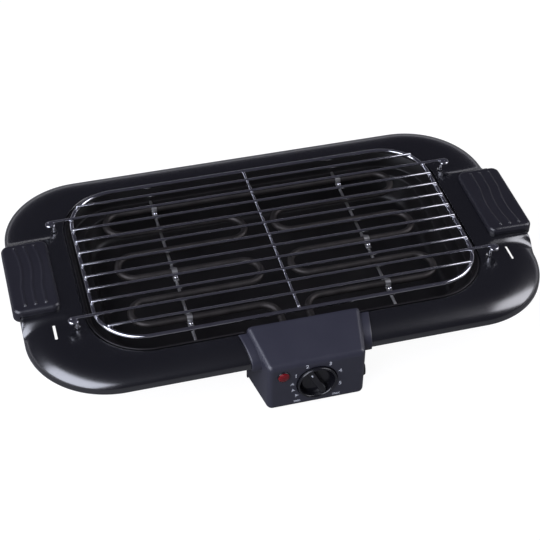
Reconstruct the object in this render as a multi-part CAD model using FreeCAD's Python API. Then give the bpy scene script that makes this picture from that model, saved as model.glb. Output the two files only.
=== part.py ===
import FreeCAD, Part
import math
import os

V = FreeCAD.Vector
UP = V(0, 0, 1)
DOWN = V(0, 0, -1)
FRONT = V(0, -1, 0)
BACK = V(0, 1, 0)

# Housing: one deep-drawn sheet with a rounded rim, seen from above
pan_half_x = 260.0
pan_half_y = 154.0
pan_corner_r = 82.5
rim_end = 60.0
rim_side = 32.5
opening_corner_r = 60.0
sheet = 1.2

# Housing heights and the rim's section
foot_height = 10.8
pan_depth = 53.2
rim_drop = 16.0
rim_run = 30.0
rim_fall = 13.0
rim_flat_count = 6
underside_flat_count = 3
step_depth = 2.6
ledge_width = 3.5
waist_inset = 5.0
waist_drop = 18.8
floor_inset = 14.0
floor_bevel = 7.0

# Raised lands pressed across the rim's ends, with sloping sides, that carry the handles
land_rise = 2.0
land_reach_in = 42.0
land_half_y = 56.5
land_bevel = 2.0
land_inner_slope = 0.5

# Two slots through the front corners of the rim
slot_from_end = 29.5
slot_from_front = 78.5
slot_length = 20.0
slot_width = 3.5

# Handles: moulded grip plates screwed on the lands, with a flange down over the rim's end
handle_reach_in = 40.0
handle_overhang = 6.0
handle_side_gap = 6.5
handle_rise = 6.5
handle_edge = 14.5
flange_gap = 0.2
handle_corner_r = 8.0
handle_bevel = 2.0
groove_count = 3
groove_pitch = 10.0
groove_half_width = 1.6
groove_depth = 1.2
groove_end_gap = 8.0
groove_sway = 2.2
groove_steps = 8

# Screws: pan heads, plain shanks
screw_r = 1.9
screw_head_r = 3.8
screw_head_h = 2.2
screw_crown = 0.7
screw_grip = 7.0
screw_gap = 0.1
handle_screw_inset = 4.5
handle_screw_from_end = 20.0
handle_screw_grip = 3.2

# Feet under the housing's floor
foot_from_end = 60.0
foot_from_side = 51.5
foot_top_r = 9.0
foot_base_r = 11.5
foot_bevel = 1.0

# Drip tray: thinner sheet, its beaded flange lies on the housing's ledge
tray_sheet = 0.8
tray_edge_gap = 0.8
tray_lip = 2.4
tray_wall_gap = 0.7
tray_wall_taper = 1.8
shoulder_width = 13.0
tray_wall_fall = 5.0
tray_floor_gap = 3.6
tray_floor_bevel = 5.0
floor_margin = 8.0

# Flats round a wire or tube, in a quarter bend or eye, in a wide corner, and round turned pieces
rod_flat_count = 8
bend_flat_count = 4
eye_flat_count = 3
corner_flat_count = 8
turned_flat_count = 12
dial_flat_count = 32

# Grill rack: bars welded across a heavier loop, two of them end in feet
rack_end_gap = 8.65
rack_side_gap = 12.2
rack_corner_r = 48.0
rack_rise = 6.4
loop_r = 2.25
bar_r = 1.5
bar_side_margin = 19.3
bar_side_count = 5
foot_bar_index = 4
weld_gap = 0.05
eye_overhang = 12.5
eye_r = 3.4
peg_bend_r = 1.7
dimple_r = 3.5
dimple_depth = 3.0
rest_gap = 0.3

# Heating element: one bent tube with its two ends in the control box
tube_r = 3.5
element_drop = 12.0
element_rows = 6
first_row_gap = 45.5
last_row_gap = 27.5
turn_gap = 45.0
inner_turn_x = 16.0
leg_x = 14.5
pin_r = 1.5
pin_length = 10.0

# Rods, clips and studs that carry the element over the tray
rod_from_turn = 54.0
rod_r = 1.5
rod_end_gap = 1.5
clip_width = 5.5
clip_sheet = 0.7
clip_foot = 6.0
clip_row_index = (0, 2, 5)
stud_r = 2.4
stud_profile = ((0.8, 0.0), (1.0, 0.6), (0.8, 1.2), (0.35, 1.5))

# Control box: tapered block hung on the rim in a notch
box_standoff = 3.5
box_depth = 47.0
box_back_half = 55.8
box_front_half = 47.2
box_bottom_z = 6.0
box_top_rise = 8.0
box_top_fall = 10.5
box_wall = 2.5
box_round = 5.0
notch_gap = 1.0
notch_below = 2.5
wing_width = 8.5
wing_thickness = 2.5

# Cover behind the control box and the plate that holds the element's ends
cover_thickness = 2.4
plate_thickness = 1.2
plate_half_x = 34.0
plate_half_z = 10.0
plate_bevel = 4.0
plate_screw_x = 26.0
tube_hole_gap = 0.3
tube_stake_gap = 0.05
boss_r = 4.0
boss_x = 40.0
boss_low_z = 14.0
boss_high_z = 55.0

# Temperature dial, its well in the panel, and the thermostat behind it
knob_r = 19.5
knob_z = 34.3
knob_proud = 3.0
knob_depth = 10.0
knob_gap = 0.6
knob_rim = 1.8
dish_depth = 9.0
dish_profile = ((0.88, 0.5), (0.5, 1.0))
grip_half_width = 4.6
grip_tail_half_width = 3.0
grip_bevel = 1.2
pointer_turn = -27.0
pointer_length = 5.0
pointer_width = 1.4
pointer_depth = 0.4
well_depth = 15.0
well_wall = 2.0
spindle_r = 3.0
spindle_gap = 0.05
hub_depth = 8.0
neck_r = 5.0
neck_gap = 0.1
nut_across = 14.0
nut_height = 3.0
nut_side_count = 6
thermostat_x = 26.0
thermostat_y = 18.0
thermostat_z = 22.0
spindle_seat = 6.0

# Indicator lamp
lens_x = -33.0
lens_z = 49.0
lens_r = 6.2
lens_dome = 2.6
lens_profile = ((1.0, 0.35), (0.8, 0.75), (0.4, 1.0))
lens_stem_r = 5.0
lens_stem_length = 6.0
lamp_r = 2.8
lamp_length = 15.0
lamp_gap = 0.1
lamp_seat = 3.0

# Mains terminals, leads and the cord bush
block_size = (22.0, 14.0, 12.0)
block_x = 24.0
block_bore_r = 2.2
block_bore_x = 6.0
lead_r = 1.0
lead_bend_r = 3.0
lead_flat_count = 2
lead_drop = 5.5
lead_tap = 4.5
block_tap = 4.0
lead_side_x = 22.0
lead_low_z = 30.0
bush_from_front = 10.5
bush_z = 28.0
bush_r = 4.6
bush_bore_r = 3.2
bush_flange_r = 6.0
bush_flange = 2.0
bush_bevel = 1.0

# Places in plan that follow from the sizes above
opening_half_x = pan_half_x - rim_end
opening_half_y = pan_half_y - rim_side
slot_x = pan_half_x - slot_from_end
slot_y = slot_from_front - pan_half_y
land_inner_x = pan_half_x - land_reach_in
handle_inner_x = pan_half_x - handle_reach_in
handle_outer_x = pan_half_x + handle_overhang
handle_half_y = land_half_y - handle_side_gap
handle_screw_x = handle_inner_x + handle_screw_inset
handle_screw_y = handle_half_y - handle_screw_from_end
groove_half_length = handle_half_y - groove_end_gap
foot_x = opening_half_x - foot_from_end
foot_y = opening_half_y - foot_from_side
rack_half_x = opening_half_x - rack_end_gap
rack_half_y = opening_half_y - rack_side_gap
bar_pitch = (rack_half_y - bar_side_margin) / bar_side_count
eye_x = opening_half_x + eye_overhang
turn_x = opening_half_x - turn_gap
rod_x = turn_x - rod_from_turn
first_row_y = first_row_gap - opening_half_y
row_pitch = (opening_half_y - last_row_gap - first_row_y) / (element_rows - 1)

# Levels, and places in the control box, that follow from the sizes above
rim_top = foot_height + pan_depth
lip_z = rim_top - rim_drop
edge_z = rim_top - rim_fall
land_z = rim_top + land_rise
floor_z = foot_height + sheet
ledge_z = rim_top - step_depth
waist_z = rim_top - waist_drop
loop_z = rim_top + rack_rise
bar_z = loop_z + loop_r + bar_r + weld_gap
element_z = rim_top - element_drop
rod_z = element_z - tube_r - weld_gap - rod_r
shoulder_z = rod_z - rod_r - rest_gap
tray_floor_z = floor_z + tray_floor_gap + tray_sheet
box_back_y = -(opening_half_y + box_standoff)
box_front_y = box_back_y - box_depth
box_top_z = rim_top + box_top_rise
cover_y = box_back_y + cover_thickness
plate_y = cover_y + plate_thickness
notch_z = element_z - tube_r - notch_below
well_r = knob_r + knob_gap
well_floor_y = box_front_y + well_depth
thermostat_front_y = well_floor_y + well_wall
lead_turn_y = thermostat_front_y + lead_tap
pin_end_y = lead_turn_y + lead_drop
leg_end_y = pin_end_y + pin_length
block_y = thermostat_front_y + thermostat_y - block_tap
centring_y = (knob_proud - box_front_y - pan_half_y) / 2
overcut = 5.0
same_place = 1e-6


def polygon_face(points):
    """Flat face through corner points."""
    return Part.Face(Part.makePolygon(list(points) + [points[0]]))


def flat_ring(radius, flats, centre, heading):
    """Corners of the regular polygon whose flats lie at a radius from a centre, square to a heading."""
    reach = radius / math.cos(math.pi / flats)
    across = V(1, 0, 0) if abs(heading.z) > 0.9 else heading.cross(UP).normalize()
    up = across.cross(heading)
    turns = [2 * math.pi * (i + 0.5) / flats for i in range(flats)]
    return [centre + across * (reach * math.cos(t)) + up * (reach * math.sin(t)) for t in turns]


def stack(rings, endless=False):
    """Solid with flats between one ring of corners and the next, closed at its ends unless it is endless."""
    faces = [] if endless else [polygon_face(rings[0]), polygon_face(rings[-1])]
    for low, high in zip(rings, rings[1:]):
        for i in range(len(low)):
            faces.append(polygon_face([low[i - 1], low[i], high[i], high[i - 1]]))
    solid = Part.Solid(Part.Shell(faces))
    if solid.Volume < 0:
        solid.reverse()
    return solid


def turned(profile, start, heading, flats=turned_flat_count):
    """Small turned piece: a ring of flats for each (radius, distance along the heading) of its profile."""
    return stack([flat_ring(radius, flats, start + heading * along, heading) for radius, along in profile])


def post(radius, length, start, heading):
    """Plain small bar, and the tool for its hole."""
    return turned([(radius, 0), (radius, length)], start, heading)


def screw(seat, heading, grip):
    """Pan-head screw: the head sits on the seat, the shank runs along the heading."""
    crown = [(screw_head_r * screw_crown, -screw_head_h), (screw_head_r, -screw_head_h / 2)]
    shank = [(screw_r, 0), (screw_r, grip)]
    return turned(crown + [(screw_head_r, 0)] + shank, seat, heading, rod_flat_count)


def screw_hole(start, heading, length):
    """Tool for a screw's hole."""
    return turned([(screw_r + screw_gap, 0), (screw_r + screw_gap, length)], start, heading, rod_flat_count)


def bent_points(points, radii, flats=bend_flat_count):
    """The path's points, with each inner corner taken in steps along an arc of its radius."""
    path = [points[0]]
    for before, corner, after, radius in zip(points, points[1:], points[2:], radii):
        arrive = (corner - before).normalize()
        leave = (after - corner).normalize()
        turn = arrive.getAngle(leave)
        steps = max(1, round(flats * turn / (math.pi / 2)))
        inward = (leave - arrive).normalize()
        along = (leave + arrive).normalize()
        centre = corner + inward * (radius / math.cos(turn / 2))
        reach = radius / math.cos(turn / 2 / steps)
        for i in range(steps):
            angle = turn * ((i + 0.5) / steps - 0.5)
            path.append(centre - inward * (reach * math.cos(angle)) + along * (reach * math.sin(angle)))
    path.append(points[-1])
    return path


def carried(path, section):
    """A section carried along a path, with a mitred copy of it at each of the path's points."""
    steps = [(b - a).normalize() for a, b in zip(path, path[1:])]
    rings = [section]
    for place, arrive, leave in zip(path[1:], steps, steps[1:] + steps[-1:]):
        facing = arrive + leave
        section = [p + arrive * ((place - p).dot(facing) / arrive.dot(facing)) for p in section]
        rings.append(section)
    return rings


def rod_along(points, radii, rod_radius, flats=bend_flat_count):
    """Rod bent through the points."""
    path = bent_points(points, radii, flats)
    heading = (path[1] - path[0]).normalize()
    return stack(carried(path, flat_ring(rod_radius, rod_flat_count, path[0], heading)))


def outline_path(half_x, half_y, corner_r, flats):
    """Once round a rounded rectangle, from the middle of its front."""
    start = V(0, -half_y, 0)
    corners = [V(half_x, -half_y, 0), V(half_x, half_y, 0), V(-half_x, half_y, 0), V(-half_x, -half_y, 0)]
    return bent_points([start] + corners + [start], [corner_r] * 4, flats)


def carried_round(half_x, half_y, corner_r, section):
    """A section, drawn in (outward, height), carried once round a rounded rectangle."""
    path = outline_path(half_x, half_y, corner_r, corner_flat_count)
    return carried(path, [path[0] + V(0, -p.x, p.z) for p in section])


def sheet_section(skin, thickness):
    """Outline of folded sheet in the (outward, height) plane, with the sheet on the left of the skin."""
    steps = [(b - a).normalize() for a, b in zip(skin, skin[1:])]
    lefts = [V(-step.z, 0, step.x) for step in steps]
    back = [skin[0] + lefts[0] * thickness]
    for place, before, after in zip(skin[1:], lefts, lefts[1:]):
        back.append(place + (before + after) * (thickness / (1 + before.dot(after))))
    back.append(skin[-1] + lefts[-1] * thickness)
    return skin + back[::-1]


def basin(skin, thickness):
    """Basin of folded sheet in the housing's opening: walls carried round it and a floor inside them."""
    section = sheet_section(skin, thickness)
    rings = carried_round(opening_half_x, opening_half_y, opening_corner_r, section)
    floor_outline = [corners[len(skin) - 1] for corners in rings[1:]]
    return stack(rings, True).fuse(polygon_face(floor_outline).extrude(V(0, 0, -thickness)))


def ring(half_x, half_y, corner_r, section):
    """A section, drawn in (outward, height), carried round a rounded rectangle with true arcs."""
    side_x = half_x - corner_r
    side_y = half_y - corner_r
    corners = [V(side_x, side_y, 0), V(-side_x, side_y, 0), V(-side_x, -side_y, 0), V(side_x, -side_y, 0)]
    lengths = []
    for quarter, centre in enumerate(corners):
        placed = section.copy()
        placed.translate(V(corner_r, 0, 0))
        placed.rotate(V(0, 0, 0), UP, 90 * quarter)
        placed.translate(centre)
        lengths.append(placed.revolve(centre, UP, 90))
        placed.rotate(centre, UP, 90)
        lengths.append(placed.extrude(corners[(quarter + 1) % 4] - centre))
    return lengths[0].multiFuse(lengths[1:])


def rounded_slab(half_x, half_y, corner_r, low_z, high_z):
    """Upright slab with a rounded rectangle for its outline."""
    block = Part.makeBox(2 * half_x, 2 * half_y, high_z - low_z, V(-half_x, -half_y, low_z))
    upright = [e for e in block.Edges if abs(e.Vertexes[0].Z - e.Vertexes[1].Z) > same_place]
    return block.makeFillet(corner_r, upright)


def rim_points(grow, flats):
    """The rim's rounded shoulder, a quarter ellipse from its edge up to its crest, grown evenly."""
    points = []
    for i in range(flats + 1):
        turn = math.pi / 2 * i / flats
        out = (rim_run + grow) * math.cos(turn) - rim_run
        points.append(V(out, 0, edge_z + (rim_fall + grow) * math.sin(turn)))
    return points


def mound(inset, flats, base_z):
    """Solid under the rim's rounded skin, drawn in by an even inset."""
    outline = [V(-inset, 0, base_z)] + rim_points(-inset, flats) + [V(-rim_run, 0, base_z)]
    skirt = ring(pan_half_x, pan_half_y, pan_corner_r, polygon_face(outline))
    core_r = pan_corner_r - rim_run
    core = rounded_slab(pan_half_x - rim_run, pan_half_y - rim_run, core_r, base_z, rim_top - inset)
    return skirt.fuse(core).removeSplitter()


def land(side, inset, base_z):
    """Block under a land's skin: sides at 45 degrees and a bevelled outer edge, drawn in by an even inset."""
    drawn_in = inset * math.sqrt(2)
    inner_shift = inset * math.hypot(1, 1 / land_inner_slope)
    crease = drawn_in - inset
    levels = [(base_z, inset), (land_z - land_bevel - crease, inset), (land_z - inset, land_bevel + crease)]
    rings = []
    for z, edge_inset in levels:
        fall = land_z - z
        half_y = land_half_y + fall - drawn_in
        inner_x = land_inner_x - fall / land_inner_slope + inner_shift
        outer_x = pan_half_x - edge_inset
        rings.append([V(side * inner_x, -half_y, z), V(side * outer_x, -half_y, z),
                      V(side * outer_x, half_y, z), V(side * inner_x, half_y, z)])
    return stack(rings)


def box_half_at(y):
    """Half width of the control box at a distance from front to back."""
    return box_back_half - (box_back_y - y) * (box_back_half - box_front_half) / box_depth


def box_plan(grow, back_y, front_y):
    """The control box's tapered plan, grown sideways."""
    back = box_half_at(min(back_y, box_back_y)) + grow
    front = box_half_at(front_y) + grow
    corners = [V(-back, back_y, 0), V(back, back_y, 0), V(front, front_y, 0), V(-front, front_y, 0)]
    return polygon_face(corners)


def notch():
    """Way through the front wall and rim for the control box and the element's legs."""
    height = V(0, 0, box_top_z + overcut - notch_z)
    inner_y = box_back_y + box_standoff + shoulder_width + overcut
    inner = box_plan(notch_gap, inner_y, box_back_y).extrude(height)
    outer = box_plan(notch_gap, box_back_y, box_front_y).extrude(height)
    way = inner.fuse(outer).removeSplitter()
    way.translate(V(0, 0, notch_z))
    return way


def four_places(x, y, z):
    """The same place in each quarter of the plan."""
    return [V(sx * x, sy * y, z) for sx in (-1, 1) for sy in (-1, 1)]


def foot_bar_ys():
    """Where the rack's two foot bars lie."""
    return (-foot_bar_index * bar_pitch, foot_bar_index * bar_pitch)


def peg_places(z):
    """Where the rack's four pegs stand, at the inner side of each eye, which curls towards the front."""
    return [V(sx * (eye_x - eye_r), y - eye_r, z) for sx in (-1, 1) for y in foot_bar_ys()]


def make_pan_housing():
    """Pressed steel housing: rounded rim with a land at each end, a stepped ledge and a deep basin."""
    inner_base_z = lip_z - overcut
    outer = mound(0, rim_flat_count, lip_z).multiFuse([land(side, 0, lip_z) for side in (-1, 1)])
    inner = mound(sheet, underside_flat_count, inner_base_z)
    inner = inner.multiFuse([land(side, sheet, inner_base_z) for side in (-1, 1)])
    opening_outline = outline_path(opening_half_x, opening_half_y, opening_corner_r, corner_flat_count)[1:]
    opening = polygon_face(opening_outline).extrude(V(0, 0, rim_top + overcut))
    floor_edge = floor_inset + floor_bevel
    inset = floor_edge + floor_margin
    skin = [V(0, 0, rim_top), V(0, 0, ledge_z), V(-ledge_width, 0, ledge_z), V(-waist_inset, 0, waist_z),
            V(-floor_inset, 0, floor_z + floor_bevel), V(-floor_edge, 0, floor_z), V(-inset, 0, floor_z)]
    cups = [post(dimple_r + sheet, dimple_depth, p, UP) for p in peg_places(rim_top - dimple_depth - sheet)]
    pan = outer.cut(inner).cut(opening).multiFuse([basin(skin, sheet)] + cups)
    holes = [post(dimple_r, dimple_depth + overcut, p, UP) for p in peg_places(rim_top - dimple_depth)]
    for side in (-1, 1):
        corner = V(side * slot_x - slot_width / 2, slot_y - slot_length / 2, lip_z)
        holes.append(Part.makeBox(slot_width, slot_length, rim_drop + overcut, corner))
    for place in four_places(handle_screw_x, handle_screw_y, land_z - sheet - overcut):
        holes.append(screw_hole(place, UP, sheet + 2 * overcut))
    for place in four_places(foot_x, foot_y, foot_height - overcut):
        holes.append(screw_hole(place, UP, sheet + 2 * overcut))
    holes.append(notch())
    return pan.cut(Part.makeCompound(holes)).removeSplitter()


def groove(x, z):
    """Swaying groove along the handle: a V section carried along one wave."""
    path = []
    for i in range(groove_steps + 1):
        part = 2 * i / groove_steps - 1
        path.append(V(x + groove_sway * math.sin(math.pi * part), part * groove_half_length, z))
    section = [V(0, 0, -groove_depth), V(groove_half_width, 0, 0), V(groove_half_width, 0, overcut),
               V(-groove_half_width, 0, overcut), V(-groove_half_width, 0, 0)]
    return stack(carried(path, [path[0] + p for p in section]))


def make_handle(side):
    """Grip plate flat on its land, with a flange down over the rim's end and three swaying grooves on top."""
    top_z = land_z + handle_rise
    edge_low_z = top_z - handle_edge
    flange_x = pan_half_x + flange_gap
    outline = [V(handle_inner_x, -handle_half_y, land_z), V(flange_x, -handle_half_y, land_z),
               V(flange_x, -handle_half_y, edge_low_z), V(handle_outer_x, -handle_half_y, edge_low_z),
               V(handle_outer_x, -handle_half_y, top_z), V(handle_inner_x, -handle_half_y, top_z)]
    middle_x = (handle_inner_x + handle_outer_x) / 2
    half_x = (handle_outer_x - handle_inner_x) / 2
    plan = outline_path(half_x, handle_half_y, handle_corner_r, bend_flat_count)[1:]
    top_half_x = half_x - handle_bevel
    top_half_y = handle_half_y - handle_bevel
    inner_plan = outline_path(top_half_x, top_half_y, handle_corner_r - handle_bevel, bend_flat_count)[1:]
    levels = [(plan, edge_low_z), (plan, top_z - handle_bevel), (inner_plan, top_z)]
    block = stack([[p + V(middle_x, 0, z) for p in points] for points, z in levels])
    body = polygon_face(outline).extrude(V(0, 2 * handle_half_y, 0)).common(block)
    for i in range(groove_count):
        body = body.cut(groove(middle_x + (i - (groove_count - 1) / 2) * groove_pitch, top_z))
    for y in (-handle_screw_y, handle_screw_y):
        body = body.cut(screw_hole(V(handle_screw_x, y, land_z), UP, handle_screw_grip))
    if side < 0:
        body.rotate(V(0, 0, 0), UP, 180)
    return body


def make_handle_screws():
    grip = sheet + handle_screw_grip - screw_gap
    places = four_places(handle_screw_x, handle_screw_y, land_z - sheet)
    return Part.makeCompound([screw(p, UP, grip) for p in places])


def make_feet():
    """Four tapered feet, each with a blind hole for the screw that comes through the housing's floor."""
    feet = []
    for place in four_places(foot_x, foot_y, 0):
        profile = [(foot_base_r - foot_bevel, 0), (foot_base_r, foot_bevel), (foot_top_r, foot_height)]
        foot = turned(profile, place, UP)
        feet.append(foot.cut(screw_hole(place + V(0, 0, foot_height), DOWN, screw_grip)))
    return Part.makeCompound(feet)


def make_foot_screws():
    grip = sheet + screw_grip - screw_gap
    return Part.makeCompound([screw(p, DOWN, grip) for p in four_places(foot_x, foot_y, floor_z)])


def make_drip_tray():
    """Flange with an upturned lip on the housing's ledge, a shoulder for the rods and a flat floor."""
    flange_z = ledge_z + tray_sheet
    lip_u = -tray_edge_gap - tray_sheet
    wall_u = -ledge_width - tray_wall_gap - tray_sheet
    shoulder_u = wall_u - tray_wall_taper
    drop_u = shoulder_u - shoulder_width
    floor_u = drop_u - tray_wall_fall
    floor_edge = floor_u - tray_floor_bevel
    inset = floor_margin - floor_edge
    bevel_z = tray_floor_z + tray_floor_bevel
    skin = [V(lip_u, 0, ledge_z + tray_lip), V(lip_u, 0, flange_z), V(wall_u, 0, flange_z),
            V(shoulder_u, 0, shoulder_z), V(drop_u, 0, shoulder_z), V(floor_u, 0, bevel_z),
            V(floor_edge, 0, tray_floor_z), V(-inset, 0, tray_floor_z)]
    return basin(skin, tray_sheet).cut(notch()).removeSplitter()


def make_rack_loop():
    """Heavy wire bent round into a rounded rectangle."""
    section = flat_ring(loop_r, rod_flat_count, V(0, 0, loop_z), BACK)
    return stack(carried_round(rack_half_x, rack_half_y, rack_corner_r, section), True)


def loop_half_at(y):
    """Half length of the loop's centre line at a distance from front to back."""
    past = max(abs(y) - rack_half_y + rack_corner_r, 0)
    return rack_half_x - rack_corner_r + math.sqrt(rack_corner_r ** 2 - past ** 2)


def make_rack_bars():
    """Plain bars, laid on the loop and cut off at its outer side."""
    bars = []
    for index in range(-bar_side_count, bar_side_count + 1):
        if abs(index) == foot_bar_index:
            continue
        y = index * bar_pitch
        half = loop_half_at(y) + loop_r
        bars.append(rod_along([V(-half, y, bar_z), V(half, y, bar_z)], [], bar_r))
    return Part.makeCompound(bars)


def make_rack_foot_bars():
    """Two bars that run past the loop, curl into an eye at each end and stand in the rim's dimples."""
    peg_z = rim_top - dimple_depth + rest_gap
    bars = []
    for y in foot_bar_ys():
        curl_y = y - 2 * eye_r
        end_x = eye_x + eye_r
        peg_x = eye_x - eye_r
        right = [V(end_x, y, bar_z), V(end_x, curl_y, bar_z), V(peg_x, curl_y, bar_z)]
        right += [V(peg_x, y - eye_r, z) for z in (bar_z, peg_z)]
        left = [V(-p.x, p.y, p.z) for p in right]
        bends = [eye_r, eye_r, peg_bend_r, peg_bend_r]
        bars.append(rod_along(left[::-1] + right, bends[::-1] + bends, bar_r, eye_flat_count))
    return Part.makeCompound(bars)


def make_rack_cross_bar():
    """Single bar under the others, butted between the loop's long sides."""
    half = rack_half_y - loop_r - weld_gap
    z = bar_z - 2 * bar_r - weld_gap
    return rod_along([V(0, -half, z), V(0, half, z)], [], bar_r)


def row_y(index):
    """Where a row of the element lies, counted from the front."""
    return first_row_y + index * row_pitch


def make_heating_element():
    """One tube bent into rows: each half runs out and back, and the halves meet on the last row."""
    right = [V(leg_x, leg_end_y, element_z)]
    for index in range(element_rows):
        turns = (leg_x if index == 0 else inner_turn_x, turn_x)
        start, end = turns if index % 2 == 0 else turns[::-1]
        right.append(V(start, row_y(index), element_z))
        if index < element_rows - 1:
            right.append(V(end, row_y(index), element_z))
    points = right + [V(-p.x, p.y, p.z) for p in right[::-1]]
    return rod_along(points, [row_pitch / 2] * len(points[1:-1]), tube_r)


def make_terminal_pins():
    """Cold pins that come out of the tube's ends."""
    places = [V(x, leg_end_y, element_z) for x in (-leg_x, leg_x)]
    return Part.makeCompound([post(pin_r, pin_length, p, FRONT) for p in places])


def make_support_rod(side):
    """Straight wire under the element, its ends on the tray's shoulder."""
    shoulder_y = opening_half_y - ledge_width - tray_wall_gap - tray_sheet - tray_wall_taper
    half = shoulder_y - rod_end_gap
    return rod_along([V(side * rod_x, -half, rod_z), V(side * rod_x, half, rod_z)], [], rod_r)


def clip_places():
    """Where the element's rows cross the rods and have a clip."""
    return [V(side * rod_x, row_y(index), element_z) for side in (-1, 1) for index in clip_row_index]


def clip_arch(radius):
    """Half a ring of flats over the tube, from its front to its back."""
    half_count = rod_flat_count // 2
    reach = radius / math.cos(math.pi / rod_flat_count)
    turns = [math.pi * (i + 0.5) / half_count for i in range(half_count)]
    return [V(0, -reach * math.cos(t), reach * math.sin(t)) for t in turns]


def make_element_clips():
    """Sheet clips bent over the tube, their feet on the rod."""
    inner_r = tube_r + weld_gap
    outer_r = inner_r + clip_sheet
    foot_low = rod_z + rod_r + weld_gap - element_z
    foot_high = foot_low + clip_sheet
    reach = outer_r + clip_foot
    under = [V(0, -reach, foot_low), V(0, -inner_r, foot_low)] + clip_arch(inner_r)
    under += [V(0, inner_r, foot_low), V(0, reach, foot_low)]
    over = [V(0, reach, foot_high), V(0, outer_r, foot_high)] + clip_arch(outer_r)[::-1]
    over += [V(0, -outer_r, foot_high), V(0, -reach, foot_high)]
    clips = []
    for place in clip_places():
        clip = polygon_face(under + over).extrude(V(clip_width, 0, 0))
        clip.translate(place - V(clip_width / 2, 0, 0))
        clips.append(clip)
    return Part.makeCompound(clips)


def make_clip_studs():
    """Round-headed studs that fasten each clip's front foot."""
    seat_z = rod_z + rod_r + weld_gap + clip_sheet - element_z
    out_y = tube_r + weld_gap + clip_sheet + clip_foot / 2
    profile = [(stud_r * wide, stud_r * high) for wide, high in stud_profile]
    seats = [p + V(0, -out_y, seat_z) for p in clip_places()]
    return Part.makeCompound([turned(profile, seat, UP, rod_flat_count) for seat in seats])


def box_block(inset, back_y):
    """The control box's tapered block under its sloping top, drawn in by a wall."""
    front_y = box_front_y + inset
    low_z = box_bottom_z + inset
    plan = box_plan(-inset, back_y, front_y).extrude(V(0, 0, box_top_z))
    front_top_z = box_top_z - box_top_fall - inset
    side = polygon_face([V(-box_back_half, back_y, low_z), V(-box_back_half, back_y, box_top_z - inset),
                         V(-box_back_half, front_y, front_top_z), V(-box_back_half, front_y, low_z)])
    return plan.common(side.extrude(V(2 * box_back_half, 0, 0)))


def softened(edge):
    """Edges of the control box that are rounded: all but those of its open back and its floor."""
    at_back = all(abs(v.Y - box_back_y) < same_place for v in edge.Vertexes)
    return not at_back and any(v.Z > box_bottom_z + box_round for v in edge.Vertexes)


def runs_front_to_back(edge):
    """Whether a straight edge runs from front to back."""
    return abs(edge.Vertexes[0].Y - edge.Vertexes[1].Y) > edge.Length - same_place


def box_wings():
    """Saddle over the rim on both sides of the box, a small gap off the rim's rounded skin."""
    reach = rest_gap + wing_thickness
    under = [V(rest_gap, 0, lip_z)] + rim_points(rest_gap, rim_flat_count)
    over = rim_points(reach, rim_flat_count)[::-1] + [V(reach, 0, lip_z)]
    saddle = polygon_face(under + over)
    saddle.rotate(V(0, 0, 0), UP, -90)
    saddle.translate(V(-box_back_half - wing_width, -pan_half_y, 0))
    saddle = saddle.extrude(V(2 * (box_back_half + wing_width), 0, 0))
    return saddle.common(box_plan(wing_width, box_back_y, box_front_y).extrude(V(0, 0, box_top_z)))


def cover_screw_places(y):
    """The cover's four screws."""
    return [V(sx * boss_x, y, z) for sx in (-1, 1) for z in (boss_low_z, boss_high_z)]


def plate_screw_places(y):
    """The mounting plate's two screws."""
    return [V(-plate_screw_x, y, element_z), V(plate_screw_x, y, element_z)]


def bush_place():
    """Where the cord's bush sits on the box's right-hand wall, and the way that wall faces."""
    y = box_front_y + bush_from_front
    facing = V(box_depth, box_front_half - box_back_half, 0).normalize()
    return V(box_half_at(y), y, bush_z), facing


def make_control_box():
    """Moulded shell, open at the back, with wings that hug the rim and a round well for the dial."""
    block = box_block(0, box_back_y)
    block = block.makeFillet(box_round, [e for e in block.Edges if softened(e)])
    cavity = box_block(box_wall, box_back_y + overcut)
    shell = block.fuse(box_wings()).cut(cavity)
    front_in = box_front_y + box_wall / 2
    well_wall_r = well_r + well_wall
    well_profile = [(well_wall_r, 0), (well_wall_r, well_floor_y + well_wall - front_in)]
    well = turned(well_profile, V(0, front_in, knob_z), BACK, dial_flat_count)
    bosses = [Part.makeBox(2 * boss_r, box_back_y - front_in, 2 * boss_r, V(p.x - boss_r, p.y, p.z - boss_r))
              for p in cover_screw_places(front_in)]
    place, facing = bush_place()
    mouth = V(0, box_front_y - overcut, knob_z)
    holes = [turned([(well_r, 0), (well_r, well_depth + overcut)], mouth, BACK, dial_flat_count),
             post(neck_r + neck_gap, well_depth + 2 * overcut, V(0, box_front_y, knob_z), BACK),
             post(lens_stem_r, box_wall + 2 * overcut, V(lens_x, box_front_y - overcut, lens_z), BACK),
             post(bush_r, 2 * overcut, place - facing * overcut, facing)]
    holes += [screw_hole(p, FRONT, screw_grip) for p in cover_screw_places(box_back_y)]
    return shell.multiFuse([well] + bosses).cut(Part.makeCompound(holes)).removeSplitter()


def tube_hole(gap, start):
    """Tool for the hole round one of the element's ends."""
    return turned([(tube_r + gap, 0), (tube_r + gap, 4 * overcut)], start, BACK, rod_flat_count)


def make_box_cover():
    """Flat cover that closes the box's back and carries the element's mounting plate."""
    plate = Part.makeBox(2 * box_back_half, cover_thickness, box_top_z - box_bottom_z,
                         V(-box_back_half, box_back_y, box_bottom_z))
    top_corners = [e for e in plate.Edges if runs_front_to_back(e) and e.Vertexes[0].Z > element_z]
    plate = plate.makeFillet(box_round, top_corners)
    boss_y = box_back_y + cover_thickness / 2
    bosses = [post(boss_r, screw_grip, p, FRONT) for p in plate_screw_places(boss_y)]
    holes = [tube_hole(tube_hole_gap, V(x, box_back_y - overcut, element_z)) for x in (-leg_x, leg_x)]
    holes += [screw_hole(p, FRONT, cover_thickness + overcut) for p in cover_screw_places(cover_y)]
    holes += [screw_hole(p, FRONT, screw_grip) for p in plate_screw_places(cover_y)]
    return plate.multiFuse(bosses).cut(Part.makeCompound(holes)).removeSplitter()


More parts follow.
